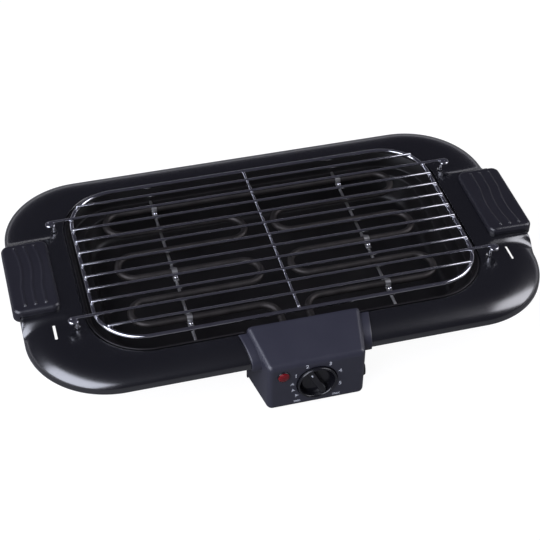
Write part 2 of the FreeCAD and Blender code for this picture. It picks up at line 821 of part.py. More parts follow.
def make_cover_screws():
    grip = cover_thickness + screw_grip - screw_gap
    return Part.makeCompound([screw(p, FRONT, grip) for p in cover_screw_places(cover_y)])


def make_mounting_plate():
    """Steel plate staked round the element's two ends."""
    plate = Part.makeBox(2 * plate_half_x, plate_thickness, 2 * plate_half_z,
                         V(-plate_half_x, cover_y, element_z - plate_half_z))
    plate = plate.makeChamfer(plate_bevel, [e for e in plate.Edges if runs_front_to_back(e)])
    holes = [tube_hole(tube_stake_gap, V(x, cover_y - overcut, element_z)) for x in (-leg_x, leg_x)]
    holes += [screw_hole(p, BACK, 2 * overcut) for p in plate_screw_places(cover_y - overcut)]
    return plate.cut(Part.makeCompound(holes))


def make_plate_screws():
    grip = plate_thickness + screw_grip - screw_gap
    return Part.makeCompound([screw(p, FRONT, grip) for p in plate_screw_places(plate_y)])


def clear_bore(length, start, heading):
    """Tool for a bore in which the spindle turns freely."""
    return post(spindle_r / math.cos(math.pi / turned_flat_count) + spindle_gap, length, start, heading)


def make_knob():
    """Dished dial with a raised rim and a tapering grip bar across it, turned to its pointer's mark."""
    front = knob_proud
    rear = -knob_depth
    dish_r = knob_r - knob_rim
    dish_low = front - dish_depth
    profile = [(knob_r, rear), (knob_r, front - knob_rim / 2), (knob_r - knob_rim / 3, front)]
    profile.append((dish_r, front))
    profile += [(dish_r * wide, front - dish_depth * deep) for wide, deep in dish_profile]
    dial = turned(profile, V(0, 0, 0), UP, dial_flat_count)
    head_y = math.sqrt(dish_r ** 2 - grip_half_width ** 2)
    tail_y = -math.sqrt(dish_r ** 2 - grip_tail_half_width ** 2)
    plan = [V(-grip_half_width, head_y, 0), V(grip_half_width, head_y, 0),
            V(grip_tail_half_width, tail_y, 0), V(-grip_tail_half_width, tail_y, 0)]
    grip = polygon_face(plan).extrude(V(0, 0, dish_depth + knob_rim))
    grip.translate(V(0, 0, dish_low - knob_rim))
    ridges = [e for e in grip.Edges if all(abs(v.Z - front) < same_place for v in e.Vertexes)]
    grip = grip.makeChamfer(grip_bevel, [e for e in ridges if e.Length > knob_r])
    pointer = Part.makeBox(pointer_width, pointer_length, overcut,
                           V(-pointer_width / 2, head_y - 1.5 * pointer_length, front - pointer_depth))
    bore = clear_bore(hub_depth, V(0, 0, rear), UP)
    knob = dial.fuse(grip).cut(pointer).cut(bore)
    knob.rotate(V(0, 0, 0), V(1, 0, 0), 90)
    knob.rotate(V(0, 0, 0), V(0, 1, 0), pointer_turn)
    knob.translate(V(0, box_front_y, knob_z))
    return knob


def make_spindle():
    """Thermostat shaft, pressed into the dial and running in the thermostat's neck."""
    start_y = thermostat_front_y + spindle_seat
    end_y = box_front_y + knob_depth - hub_depth + spindle_gap
    return post(spindle_r, start_y - end_y, V(0, start_y, knob_z), FRONT)


def make_thermostat():
    """Thermostat block behind the well, with a neck that comes through the well's floor."""
    body = Part.makeBox(thermostat_x, thermostat_y, thermostat_z,
                        V(-thermostat_x / 2, thermostat_front_y, knob_z - thermostat_z / 2))
    neck = post(neck_r, well_wall + nut_height, V(0, thermostat_front_y, knob_z), FRONT)
    seat = V(0, thermostat_front_y + spindle_seat + spindle_gap, knob_z)
    return body.fuse(neck).cut(clear_bore(spindle_seat + well_depth, seat, FRONT)).removeSplitter()


def make_neck_nut():
    """Hexagon nut in the well that clamps the thermostat to its floor."""
    place = V(0, well_floor_y, knob_z)
    nut = turned([(nut_across / 2, 0), (nut_across / 2, nut_height)], place, FRONT, nut_side_count)
    return nut.cut(post(neck_r + neck_gap, 4 * nut_height, place - FRONT * nut_height, FRONT))


def make_indicator_lens():
    """Faceted lens pushed into the panel, hollow behind for the lamp."""
    stem_r = lens_stem_r - tube_stake_gap
    profile = [(stem_r, -lens_stem_length), (stem_r, 0), (lens_r, 0)]
    profile += [(lens_r * wide, lens_dome * high) for wide, high in lens_profile]
    place = V(lens_x, box_front_y, lens_z)
    seat = place + BACK * (lens_stem_length - lamp_seat)
    return turned(profile, place, FRONT).cut(post(lamp_r + lamp_gap, lens_stem_length, seat, BACK))


def make_lamp():
    """Small glow lamp with a tapered front, held in the lens's bore."""
    place = V(lens_x, box_front_y + lens_stem_length - lamp_seat + lamp_gap, lens_z)
    return turned([(lamp_r / 2, 0), (lamp_r, lamp_r / 2), (lamp_r, lamp_length)], place, BACK)


def make_terminal_block():
    """Two-pole block on the box's floor, with a bore through it for each pole."""
    size_x, size_y, size_z = block_size
    low_z = box_bottom_z + box_wall
    front_y = block_y - size_y / 2
    block = Part.makeBox(size_x, size_y, size_z, V(block_x - size_x / 2, front_y, low_z))
    for x in (block_x - block_bore_x, block_x + block_bore_x):
        start = V(x, front_y - overcut, low_z + size_z / 2)
        block = block.cut(post(block_bore_r, size_y + 2 * overcut, start, BACK))
    return block


def make_leads():
    """Three insulated leads: element to thermostat, element to block, thermostat to block."""
    block_top = box_bottom_z + box_wall + block_size[2]
    near_x = block_x - block_bore_x
    far_x = block_x + block_bore_x
    first = [V(-leg_x, pin_end_y, element_z), V(-leg_x, lead_turn_y, element_z)]
    first += [V(-lead_side_x, lead_turn_y, z) for z in (element_z, knob_z)]
    first.append(V(-thermostat_x / 2, lead_turn_y, knob_z))
    second = [V(leg_x, pin_end_y, element_z), V(leg_x, lead_turn_y, element_z)]
    second += [V(far_x, lead_turn_y, z) for z in (element_z, lead_low_z)]
    second += [V(far_x, block_y, z) for z in (lead_low_z, block_top)]
    third = [V(thermostat_x / 2, block_y, lead_low_z)]
    third += [V(near_x, block_y, z) for z in (lead_low_z, block_top)]
    leads = []
    for points in (first, second, third):
        leads.append(rod_along(points, [lead_bend_r] * len(points[1:-1]), lead_r, lead_flat_count))
    return Part.makeCompound(leads)


def make_cord_bush():
    """Soft bush in the box's right-hand wall, where a mains cord would enter."""
    place, facing = bush_place()
    body_r = bush_r - tube_stake_gap
    profile = [(body_r, -box_wall - bush_flange), (body_r, 0)]
    profile += [(bush_flange_r, 0), (bush_flange_r - bush_bevel, bush_flange)]
    bore = post(bush_bore_r, 4 * overcut, place - facing * 2 * overcut, facing)
    return turned(profile, place, facing).cut(bore)


pieces = {
    "pan_housing": make_pan_housing(),
    "handle_left": make_handle(-1),
    "handle_right": make_handle(1),
    "handle_screws": make_handle_screws(),
    "feet": make_feet(),
    "foot_screws": make_foot_screws(),
    "drip_tray": make_drip_tray(),
    "rack_loop": make_rack_loop(),
    "rack_bars": make_rack_bars(),
    "rack_foot_bars": make_rack_foot_bars(),
    "rack_cross_bar": make_rack_cross_bar(),
    "heating_element": make_heating_element(),
    "terminal_pins": make_terminal_pins(),
    "support_rod_left": make_support_rod(-1),
    "support_rod_right": make_support_rod(1),
    "element_clips": make_element_clips(),
    "clip_studs": make_clip_studs(),
    "control_box": make_control_box(),
    "box_cover": make_box_cover(),
    "cover_screws": make_cover_screws(),
    "mounting_plate": make_mounting_plate(),
    "plate_screws": make_plate_screws(),
    "knob": make_knob(),
    "spindle": make_spindle(),
    "thermostat": make_thermostat(),
    "neck_nut": make_neck_nut(),
    "indicator_lens": make_indicator_lens(),
    "lamp": make_lamp(),
    "terminal_block": make_terminal_block(),
    "leads": make_leads(),
    "cord_bush": make_cord_bush(),
}

os.makedirs("parts", exist_ok=True)
for name, shape in pieces.items():
    shape.translate(V(0, centring_y, 0))
    shape.exportStep(f"parts/{name}.step")
    print(f"{name}: {len(shape.Solids)} solids, valid {shape.isValid()}, volume {shape.Volume:.0f} mm3")
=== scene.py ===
import math

import bmesh
import bpy
import numpy as np
from mathutils import Matrix, Vector


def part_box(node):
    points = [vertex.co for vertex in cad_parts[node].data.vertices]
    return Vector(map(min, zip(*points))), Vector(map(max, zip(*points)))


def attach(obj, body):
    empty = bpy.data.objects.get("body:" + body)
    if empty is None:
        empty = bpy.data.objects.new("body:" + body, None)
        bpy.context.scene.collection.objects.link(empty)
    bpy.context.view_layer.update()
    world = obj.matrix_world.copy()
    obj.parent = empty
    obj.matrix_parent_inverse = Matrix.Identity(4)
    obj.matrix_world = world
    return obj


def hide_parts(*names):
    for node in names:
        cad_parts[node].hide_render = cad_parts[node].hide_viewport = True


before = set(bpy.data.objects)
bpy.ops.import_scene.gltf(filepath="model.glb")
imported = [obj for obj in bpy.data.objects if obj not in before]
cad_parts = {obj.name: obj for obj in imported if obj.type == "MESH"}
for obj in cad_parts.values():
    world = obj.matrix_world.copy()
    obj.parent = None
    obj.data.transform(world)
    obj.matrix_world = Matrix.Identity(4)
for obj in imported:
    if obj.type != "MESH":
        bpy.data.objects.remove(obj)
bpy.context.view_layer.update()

# Housing: one deep-drawn steel sheet under glossy black enamel. Its broad rounded rim rises to a flat land
# at each end, has slots and dimples punched in its crest, and steps down to a ledge and a basin. A notch at
# the front takes the control box.
mm = 0.001


def corners_of(node):
    """A CAD node's lowest and highest corners, in millimetres to a thousandth."""
    return np.round(np.array(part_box(node)) / mm, 3)


def middle_and_half(node):
    """The middle of a CAD node's box and half its size along each axis, in millimetres."""
    low, high = corners_of(node)
    return (low + high) / 2, (high - low) / 2


housing_middle, housing_half = middle_and_half("pan_housing")
middle_y = housing_middle[1]
rim_half, rim_corner = housing_half[:2], 82.5
shoulder_run, shoulder_fall = 30.0, 13.0
rim_lip, rim_top = 48.0, 64.0
rim_edge = rim_top - shoulder_fall
land_z = housing_middle[2] + housing_half[2]
land_half, land_in, land_slope = 56.5, 218.0, 0.5
land_round, land_edge, land_fillet = 3.0, 2.0, 6.5
opening_half, opening_corner, opening_round = (200.0, 121.5), 60.0, 1.8
housing_sheet = 1.2
ledge_z = 61.4
notch_half, notch_z, notch_taper = 56.8, 46.0, 8.6
notch_front, notch_back = corners_of("control_box")[:, 1] - middle_y
notch_reach, notch_ease = -100.0, 45.0
slot_x, slot_y, slot_core, slot_round = 230.5, -75.5, (0.5, 9.2), 0.8
peg_x, eye_r, foot_bar_y = 209.1, 3.4, (-72.0, 72.0)
dimple_r, punch_low, punch_high = 4.1, 40.0, 80.0
run_steps, arc_steps = 60, 40
steps = 4 * (run_steps + arc_steps)


def outline(half, corner):
    """Once round a rounded rectangle, anticlockwise from the front's left end. Along each run the points
    keep to the same places near its middle and spread evenly from there to its ends; each corner is a
    quarter circle in even turns. Gives the points and their outward directions."""
    points, outward = [], []
    share = np.linspace(-1, 1, run_steps, endpoint=False)
    for side in range(4):
        turn = math.pi / 2 * (side - 1)
        out = np.array((math.cos(turn), math.sin(turn)))
        along = np.array((-out[1], out[0]))
        reach = half[1 - side % 2]
        half_run = half[side % 2] - corner
        near = min(notch_half, 0.7 * half_run)
        place = near * np.clip(2 * share, -1, 1)
        place += np.sign(share) * (half_run - near) * np.clip(2 * np.abs(share) - 1, 0, 1)
        angle = turn + np.linspace(0, math.pi / 2, arc_steps, endpoint=False)
        ray = np.stack((np.cos(angle), np.sin(angle)), 1)
        run = out * reach + place[:, None] * along
        points += [run, out * (reach - corner) + along * half_run + corner * ray]
        outward += [np.tile(out, (run_steps, 1)), ray]
    return np.concatenate(points), np.concatenate(outward)


def rings_round(edge, profile):
    """Rings of points: the outline's points moved outwards by each offset of the profile, at its height."""
    points, outward = edge
    offset, height = np.asarray(profile, float).T
    flat = points + offset[:, None, None] * outward
    return np.concatenate((flat, np.broadcast_to(height[:, None, None], flat.shape[:2] + (1,))), 2)


def strips(rings, loop=False, caps=False):
    """Quads between each ring of points and the next, closed round each ring; a loop joins the last ring to
    the first, and caps close both ends with one face each. Gives points, quads and caps."""
    rows, columns = rings.shape[:2]
    index = np.arange(rows * columns).reshape(rows, columns)
    here, ahead = (index, np.roll(index, -1, 0)) if loop else (index[:-1], index[1:])
    quads = np.stack((here, np.roll(here, -1, 1), np.roll(ahead, -1, 1), ahead), 2).reshape(-1, 4)
    return rings.reshape(-1, 3), quads, [index[0, ::-1], index[-1]] if caps else []


def joined(*parts):
    """Several lots of points, quads and caps as one."""
    points, quads, caps = zip(*parts)
    first = np.cumsum([0] + [len(lot) for lot in points])
    return (np.concatenate(points), np.concatenate([lot + start for lot, start in zip(quads, first)]),
            [cap + start for lot, start in zip(caps, first) for cap in lot])


def fitted(name, part, finish, body=None, stands_for=(), sharp=35, closed=True):
    """A piece from points in millimetres and faces, shaded smooth but for folds sharper than an angle. A
    closed piece has its poles merged and its faces turned outwards. It rides on its body and stands for its
    nodes."""
    points, quads, caps = part
    mesh = bpy.data.meshes.new(name)
    mesh.from_pydata((points * mm).tolist(), [], quads.tolist() + [cap.tolist() for cap in caps])
    if closed:
        shape = bmesh.new()
        shape.from_mesh(mesh)
        bmesh.ops.remove_doubles(shape, verts=shape.verts, dist=1e-7)
        bmesh.ops.recalc_face_normals(shape, faces=shape.faces)
        shape.to_mesh(mesh)
        shape.free()
    mesh.shade_smooth()
    mesh.set_sharp_from_angle(angle=math.radians(sharp))
    mesh.materials.append(finish)
    piece = bpy.data.objects.new(name, mesh)
    bpy.context.scene.collection.objects.link(piece)
    if body:
        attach(piece, body)
    if stands_for:
        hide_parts(*stands_for)
    return piece


def turned(profile, start, heading, sides=48, loop=False):
    """A turned piece: a circle for each (radius, distance along the heading) of its profile. A loop joins
    the profile's end to its start; any other profile is closed at both ends."""
    radius, along = np.asarray(profile, float).T
    heading = np.asarray(heading, float)
    across = np.cross(heading, (0, 0, 1) if abs(heading[2]) < 0.9 else (1, 0, 0))
    across /= np.linalg.norm(across)
    up = np.cross(across, heading)
    angle = np.linspace(0, 2 * math.pi, sides, endpoint=False)[:, None]
    circle = np.cos(angle) * across + np.sin(angle) * up
    rings = np.asarray(start, float) + along[:, None, None] * heading + radius[:, None, None] * circle
    return strips(rings, loop=loop, caps=not loop)


def lower(a, b, blend):
    """The lower of two heights, with a round of the blend's size where they cross."""
    share = np.clip(0.5 + 0.5 * (b - a) / blend, 0, 1)
    return b + (a - b) * share - blend * share * (1 - share)


def raised(rings):
    """Lifts the rim to a flat land at each end: the land falls off at 45 degrees on both sides and at 1 in 2
    inwards, its outer edge is a quarter circle, and the higher of land and rim stays, with a soft fillet."""
    x, y, z = np.abs(rings[..., 0]), np.abs(rings[..., 1]), rings[..., 2]
    past = np.clip(x - rim_half[0] + land_round, 0, land_round)
    edge = land_z - land_round + np.sqrt(land_round ** 2 - past ** 2)
    sides = lower(edge, land_z + land_half - y, land_edge)
    land = np.minimum(sides, land_z + land_slope * np.minimum(x - land_in, 0))
    rings[..., 2] = -lower(-z, -land, land_fillet)
    return rings


def narrowed(rings):
    """Draws the notch's sides together towards the front as the control box does, and eases the rim's points
    on both sides of it back to their own places further out."""
    x, y = rings[..., 0], rings[..., 1]
    run = notch_back - notch_front
    half = notch_half - np.clip(notch_back - y, 0, run) * notch_taper / run
    wide = np.abs(x)
    eased_at = notch_half + notch_ease
    beside = half + (wide - notch_half) * (eased_at - half) / notch_ease
    moved = np.where(wide < notch_half, wide * half / notch_half, np.where(wide < eased_at, beside, wide))
    rings[..., 0] = np.where(y < notch_reach, np.sign(x) * moved, x)
    return rings


def notched(quads, rows):
    """Leaves out the quads of the first rows along the middle of the front run."""
    row, column = np.divmod(np.arange(len(quads)), steps)
    return quads[(row >= rows) | (column < run_steps // 4) | (column >= run_steps * 3 // 4)]


def prism(points, low, high):
    """An upright prism on an outline, between two levels."""
    ring = np.concatenate((points, np.zeros((len(points), 1))), 1)
    return strips(np.stack((ring + (0, 0, low), ring + (0, 0, high))), caps=True)


def punch(piece, sharp, *cutters):
    """Cuts closed parts out of a piece and shades it smooth again but for folds sharper than an angle."""
    tool = fitted("punch", joined(*cutters), piece.data.materials[0])
    cut = piece.modifiers.new("punched", "BOOLEAN")
    cut.object, cut.operation, cut.solver = tool, "DIFFERENCE", "EXACT"
    whole = bpy.data.meshes.new_from_object(piece.evaluated_get(bpy.context.evaluated_depsgraph_get()))
    piece.modifiers.clear()
    piece.data = whole
    whole.shade_smooth()
    whole.set_sharp_from_angle(angle=math.radians(sharp))
    bpy.data.objects.remove(tool)


def unevenness():
    """Node group of surface masks from Object coordinates: broad clouds, fine grain and sparse specks."""
    group = bpy.data.node_groups.new("unevenness", "ShaderNodeTree")
    for name, kind in (("Clouds per metre", "INPUT"), ("Grains per metre", "INPUT"), ("Clouds", "OUTPUT"),
                       ("Grain", "OUTPUT"), ("Specks", "OUTPUT")):
        group.interface.new_socket(name, in_out=kind, socket_type="NodeSocketFloat")
    inlet, outlet = group.nodes.new("NodeGroupInput"), group.nodes.new("NodeGroupOutput")
    where = group.nodes.new("ShaderNodeTexCoord")
    clouds, grain = group.nodes.new("ShaderNodeTexNoise"), group.nodes.new("ShaderNodeTexNoise")
    cells = group.nodes.new("ShaderNodeTexVoronoi")
    specks = group.nodes.new("ShaderNodeMapRange")
    clouds.inputs["Detail"].default_value = 4
    grain.inputs["Detail"].default_value = 2
    specks.inputs["From Min"].default_value, specks.inputs["From Max"].default_value = 0.12, 0.05
    link = group.links.new
    for texture, rate in ((clouds, 0), (grain, 1), (cells, 0)):
        link(where.outputs["Object"], texture.inputs["Vector"])
        link(inlet.outputs[rate], texture.inputs["Scale"])
    link(cells.outputs["Distance"], specks.inputs["Value"])
    link(clouds.outputs["Fac"], outlet.inputs["Clouds"])
    link(grain.outputs["Fac"], outlet.inputs["Grain"])
    link(specks.outputs["Result"], outlet.inputs["Specks"])
    return group


uneven = unevenness()


def finish_of(name, dark, light, rough, clouds=40, grains=900, bump=0.1, depth=0.0002, specks=0.0, bare=None,
              **settings):
    """A material whose colour and roughness drift between two values with the clouds, with a fine bump from
    the grain and paler specks. A bare colour shows as metal where the piece's own mask "worn" says so. Any
    other Principled value is set by its name on the shader itself."""
    material = bpy.data.materials.new(name)
    material.use_nodes = True
    nodes, link = material.node_tree.nodes, material.node_tree.links.new
    shader = nodes["Principled BSDF"]
    masks = nodes.new("ShaderNodeGroup")
    masks.node_tree = uneven
    masks.inputs["Clouds per metre"].default_value = clouds
    masks.inputs["Grains per metre"].default_value = grains
    tint, dust = nodes.new("ShaderNodeMix"), nodes.new("ShaderNodeMix")
    tint.data_type = dust.data_type = "RGBA"
    tint.inputs["A"].default_value, tint.inputs["B"].default_value = (*dark, 1), (*light, 1)
    dust.inputs["B"].default_value = (*(min(1, 3 * c + 0.03) for c in light), 1)
    some = nodes.new("ShaderNodeMath")
    some.operation = "MULTIPLY"
    some.inputs[1].default_value = specks
    gloss = nodes.new("ShaderNodeMapRange")
    gloss.inputs["From Min"].default_value, gloss.inputs["From Max"].default_value = 0.3, 0.7
    gloss.inputs["To Min"].default_value, gloss.inputs["To Max"].default_value = rough
    relief = nodes.new("ShaderNodeBump")
    relief.inputs["Strength"].default_value, relief.inputs["Distance"].default_value = bump, depth
    link(masks.outputs["Clouds"], tint.inputs["Factor"])
    link(masks.outputs["Specks"], some.inputs[0])
    link(some.outputs["Value"], dust.inputs["Factor"])
    link(tint.outputs["Result"], dust.inputs["A"])
    link(dust.outputs["Result"], shader.inputs["Base Color"])
    link(masks.outputs["Clouds"], gloss.inputs["Value"])
    link(gloss.outputs["Result"], shader.inputs["Roughness"])
    link(masks.outputs["Grain"], relief.inputs["Height"])
    link(relief.outputs["Normal"], shader.inputs["Normal"])
    if bare:
        worn, rubbed = nodes.new("ShaderNodeAttribute"), nodes.new("ShaderNodeMix")
        worn.attribute_name, rubbed.data_type = "worn", "RGBA"
        rubbed.inputs["B"].default_value = (*bare, 1)
        link(worn.outputs["Fac"], rubbed.inputs["Factor"])
        link(dust.outputs["Result"], rubbed.inputs["A"])
        link(rubbed.outputs["Result"], shader.inputs["Base Color"])
        link(worn.outputs["Fac"], shader.inputs["Metallic"])
    for socket, value in settings.items():
        shader.inputs[socket.replace("_", " ")].default_value = value
    return material


rim = outline(rim_half, rim_corner)
opening = outline(opening_half, opening_corner)
turn = np.linspace(0, math.pi / 2, 24)
shoulder = np.stack((shoulder_run * (np.cos(turn) - 1), rim_edge + shoulder_fall * np.sin(turn)), 1)
lip = rings_round(rim, ((0, rim_lip), (0, (rim_lip + rim_edge) / 2)))
outer = rings_round(rim, shoulder)
turn = np.linspace(0, math.pi / 2, 8)
brow = np.stack((opening_round * (1 - np.sin(turn)), rim_top - opening_round * (1 - np.cos(turn))), 1)
basin_profile = ((0, ledge_z), (-3.5, ledge_z), (-4.93, notch_z), (-5.2, 43), (-13.6, 20.2), (-14.9, 17.5),
                 (-18.6, 13.4), (-21.5, 12.0), (-29, 12.0))
inner = rings_round(opening, np.concatenate((brow, basin_profile)))
share = np.linspace(0, 1, 14)[1:-1, None, None]
crest = outer[-1] + share * (inner[0] - outer[-1])
skin = np.concatenate((lip, raised(np.concatenate((outer, crest))), inner))
points, quads = strips(narrowed(skin) + (0, middle_y, 0))[:2]
quads = notched(quads, len(lip) + len(outer) + len(crest) + len(brow) + 2)
floor_edge = np.arange(len(points) - steps, len(points))
enamel = finish_of("black_enamel", (0.0026, 0.0027, 0.0042), (0.0040, 0.0041, 0.0060), (0.26, 0.34),
                   clouds=14, grains=420, bump=0.05, depth=0.0003, specks=0.05, Specular_IOR_Level=0.2,
                   Coat_Weight=1.0, Coat_Roughness=0.23, Coat_IOR=2.15)
housing = fitted("housing", (points, quads, [floor_edge]), enamel, closed=False)
wall = housing.modifiers.new("sheet", "SOLIDIFY")
wall.thickness, wall.offset = housing_sheet * mm, -1
peg_places = [(sx * peg_x, y - eye_r + middle_y) for sx in (-1, 1) for y in foot_bar_y]
angle = np.linspace(0, 2 * math.pi, 32, endpoint=False)
circle = np.stack((np.cos(angle), np.sin(angle)), 1)
slot_outline = np.sign(circle) * slot_core + slot_round * circle
cutters = [prism(slot_outline + (sx * slot_x, slot_y + middle_y), punch_low, punch_high) for sx in (-1, 1)]
cutters += [prism(dimple_r * circle + place, punch_low, punch_high) for place in peg_places]
punch(housing, 40, *cutters)
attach(housing, "housing")
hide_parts("pan_housing")
cup = ((dimple_r, rim_top), (3.8, 63.9), (3.3, 63.5), (2.7, 63.05), (2.0, 62.75), (1.0, 62.6), (0, 62.55),
       (0, 61.4), (2.6, 61.6), (3.6, 62.2), (4.6, 62.9), (4.75, 63.6))
cups = [turned(cup, (*place, 0), (0, 0, 1), 32, loop=True) for place in peg_places]
fitted("housing_dimples", joined(*cups), enamel, "housing")

# Handles: grip plates moulded in black plastic and screwed on the rim's lands, each with a flange that turns
# down over the rim's end. Three low ribs with round ends sway along each plate.
(handle_in, handle_front, flange_low), (handle_out, handle_back, handle_top) = corners_of("handle_right")
handle_half = (handle_back - handle_front) / 2
handle_corner, handle_round, handle_rise = 8.0, 4.0, 0.8
flange_in, flange_round = 260.2, 3.2
rib_pitch, rib_half, rib_height, rib_width = 10.0, 42.0, 0.9, 1.3
rib_sway, sway_start, rib_end_height, rib_end_spread = 3.2, 0.4, 0.9, 1.1
edge_share = 0.18


def grip_plate(side):
    """Plate between two grids over a rounded rectangle, whose points gather towards its edges. Its top rises
    a little inwards, falls away in a quarter circle near the edge and carries three ribs: each is a
    bell-shaped ridge, with a round pip at both ends, about a line that bows inwards in its front half. Its
    underside lies on the land and, past the rim's end, drops to the flange's rounded foot. The left plate is
    the right one turned half round."""
    across = 0.35 * np.sin(np.linspace(-math.pi / 2, math.pi / 2, 141)) + 0.65 * np.linspace(-1, 1, 141)
    edge = 1 - edge_share * np.linspace(0, 1, 37) ** 1.5
    along = np.concatenate((-edge, np.linspace(edge_share - 1, 1 - edge_share, 47)[1:-1], edge[::-1]))
    half_x = (handle_out - handle_in) / 2
    y = along[None, :] * handle_half
    past = np.clip(np.abs(y) - handle_half + handle_corner, 0, handle_corner)
    x = across[:, None] * (half_x - handle_corner + np.sqrt(handle_corner ** 2 - past ** 2))
    y = np.broadcast_to(y, x.shape)
    corner_x = np.maximum(np.abs(x) - half_x + handle_corner, 0)
    corner_y = np.maximum(np.abs(y) - handle_half + handle_corner, 0)
    inside = np.where((corner_x > 0) & (corner_y > 0), handle_corner - np.hypot(corner_x, corner_y),
                      np.minimum(half_x - np.abs(x), handle_half - np.abs(y)))
    near = np.clip(handle_round - inside, 0, handle_round)
    crown = handle_top + handle_rise * (1 - x / half_x) / 2
    top = crown - handle_round + np.sqrt(handle_round ** 2 - near ** 2)
    bow = rib_sway * np.sin(math.pi * np.clip((sway_start - y / rib_half) / (1 + sway_start), 0, 1))
    over = np.maximum(np.abs(y) - rib_half, 0)
    for rib in (-1, 0, 1):
        aside = x - rib * rib_pitch + bow
        top = top + rib_height * np.exp(-(aside ** 2 + over ** 2) / rib_width ** 2)
        top = top + rib_end_height * np.exp(-(aside ** 2 + (np.abs(y) - rib_half) ** 2) / rib_end_spread)
    x = x + (handle_in + handle_out) / 2
    near = np.clip(flange_round - inside, 0, flange_round)
    foot = flange_low + flange_round - np.sqrt(flange_round ** 2 - near ** 2)
    under = np.where(x > flange_in, foot, land_z)
    upper = np.stack((side * x, side * y + middle_y, top), 2).reshape(-1, 3)
    below = np.stack((side * x, side * y + middle_y, under), 2).reshape(-1, 3)
    rows, columns = x.shape
    count = rows * columns
    index = np.arange(count).reshape(rows, columns)
    quads = np.stack((index[:-1, :-1], index[1:, :-1], index[1:, 1:], index[:-1, 1:]), 2).reshape(-1, 4)
    border = np.concatenate((index[:-1, 0], index[-1, :-1], index[:0:-1, -1], index[0, :0:-1]))
    skirt = np.stack((border, np.roll(border, -1), np.roll(border, -1) + count, border + count), 1)
    return np.concatenate((upper, below)), np.concatenate((quads, quads[:, ::-1] + count, skirt)), []


grip_black = finish_of("grip_plastic", (0.0160, 0.0153, 0.0210), (0.0210, 0.0203, 0.0270), (0.28, 0.36),
                       clouds=25, grains=2200, bump=0.06, specks=0.08, Specular_IOR_Level=0.8)
for side, name in ((-1, "handle_left"), (1, "handle_right")):
    fitted(f"grip_{name}", grip_plate(side), grip_black, "housing", (name,), sharp=50)

# Feet: four tapered rubber feet under the housing's floor, each on a plated screw from inside.
# The handles are held from below by the same pan-head screws.
foot_x, foot_y = 140.0, 70.0
foot_profile = ((9.8, 0), (10.6, 0.15), (11.2, 0.6), (11.4, 1.2), (9.2, 10.2), (8.8, 10.8))
foot_places = [(sx * foot_x, sy * foot_y + middle_y, 0) for sx in (-1, 1) for sy in (-1, 1)]
feet = [turned(foot_profile, place, (0, 0, 1)) for place in foot_places]
foot_black = finish_of("foot_rubber", (0.020, 0.020, 0.020), (0.032, 0.031, 0.030), (0.75, 0.9), clouds=90,
                       grains=2600, bump=0.2)
fitted("rubber_feet", joined(*feet), foot_black, "housing", ("feet",))
zinc = finish_of("zinc_plate", (0.50, 0.50, 0.50), (0.62, 0.61, 0.58), (0.28, 0.42), clouds=220, grains=3000,
                 bump=0.08, Metallic=1.0)


def painted(finish, *names):
    """Gives CAD nodes a finish."""
    for name in names:
        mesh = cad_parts[name].data
        mesh.materials.clear()
        mesh.materials.append(finish)


painted(zinc, "handle_screws", "foot_screws")

# Drip tray: thinner sheet under matt black enamel, dropped into the opening. A rolled lip, rubbed bare along
# its crown, rests on the ledge, and a shoulder inside carries the element's rods.
tray_sheet, lip_r, lip_in, lip_foot = 0.8, 0.6, 1.9, 62.2
lip_z = corners_of("drip_tray")[1, 2] - lip_r
lip_wear = (0.25, 0.6, 0.9, 1.0, 0.9, 0.6, 0.25)
turn = np.linspace(0, math.pi, len(lip_wear) + 2)
tray_lip = np.stack((lip_r * np.cos(turn) - lip_in, lip_z + lip_r * np.sin(turn)), 1)
tray_wall = ((-2.5, 62.4), (-2.9, lip_foot), (-4.4, lip_foot), (-5.0, 61.6), (-6.4, 49.2), (-6.7, notch_z),
             (-7.2, 45.3), (-8.2, 45.15), (-18.6, 45.15), (-19.8, 44.7), (-20.5, 43.4), (-24.2, 22.4),
             (-25.2, 19.4), (-27.2, 17.2), (-30.0, 16.4), (-38, 16.4))
tray_profile = np.concatenate((((lip_r - lip_in, lip_foot),), tray_lip, tray_wall))
points, quads = strips(narrowed(rings_round(opening, tray_profile)) + (0, middle_y, 0))[:2]
quads = notched(quads, int(np.argmax(tray_profile[:, 1] <= notch_z)))
floor_edge = np.arange(len(points) - steps, len(points))
tray_black = finish_of("tray_enamel", (0.0060, 0.0053, 0.0056), (0.0095, 0.0084, 0.0086), (0.36, 0.50),
                       clouds=18, grains=700, bump=0.08, specks=0.06, bare=(0.07, 0.065, 0.07))
tray = fitted("tray", (points, quads, [floor_edge]), tray_black, "tray", ("drip_tray",),
              sharp=50, closed=False)
worn = np.zeros(len(tray_profile))
worn[2:2 + len(lip_wear)] = lip_wear
tray.data.attributes.new("worn", "FLOAT", "POINT").data.foreach_set("value", np.repeat(worn, steps))
wall = tray.modifiers.new("sheet", "SOLIDIFY")
wall.thickness, wall.offset = tray_sheet * mm, -1

# Heating element: one steel-sheathed tube bent into six rows, dull grey and tinted by heat. Its two ends
# run through the control box's back into cold pins, staked in a steel plate.
tube_middle, tube_half = middle_and_half("heating_element")
element_z, tube_r = tube_middle[2], tube_half[2]
bend_in, bend_out, bend_r = 16.0, tube_half[0] - tube_r, 17.0
leg_x, leg_y = 14.5, (tube_middle - tube_half)[1] - middle_y
row_count, last_row_y = 6, (tube_middle + tube_half)[1] - tube_r - middle_y
rows_y = last_row_y - 2 * bend_r * np.arange(row_count)[::-1]


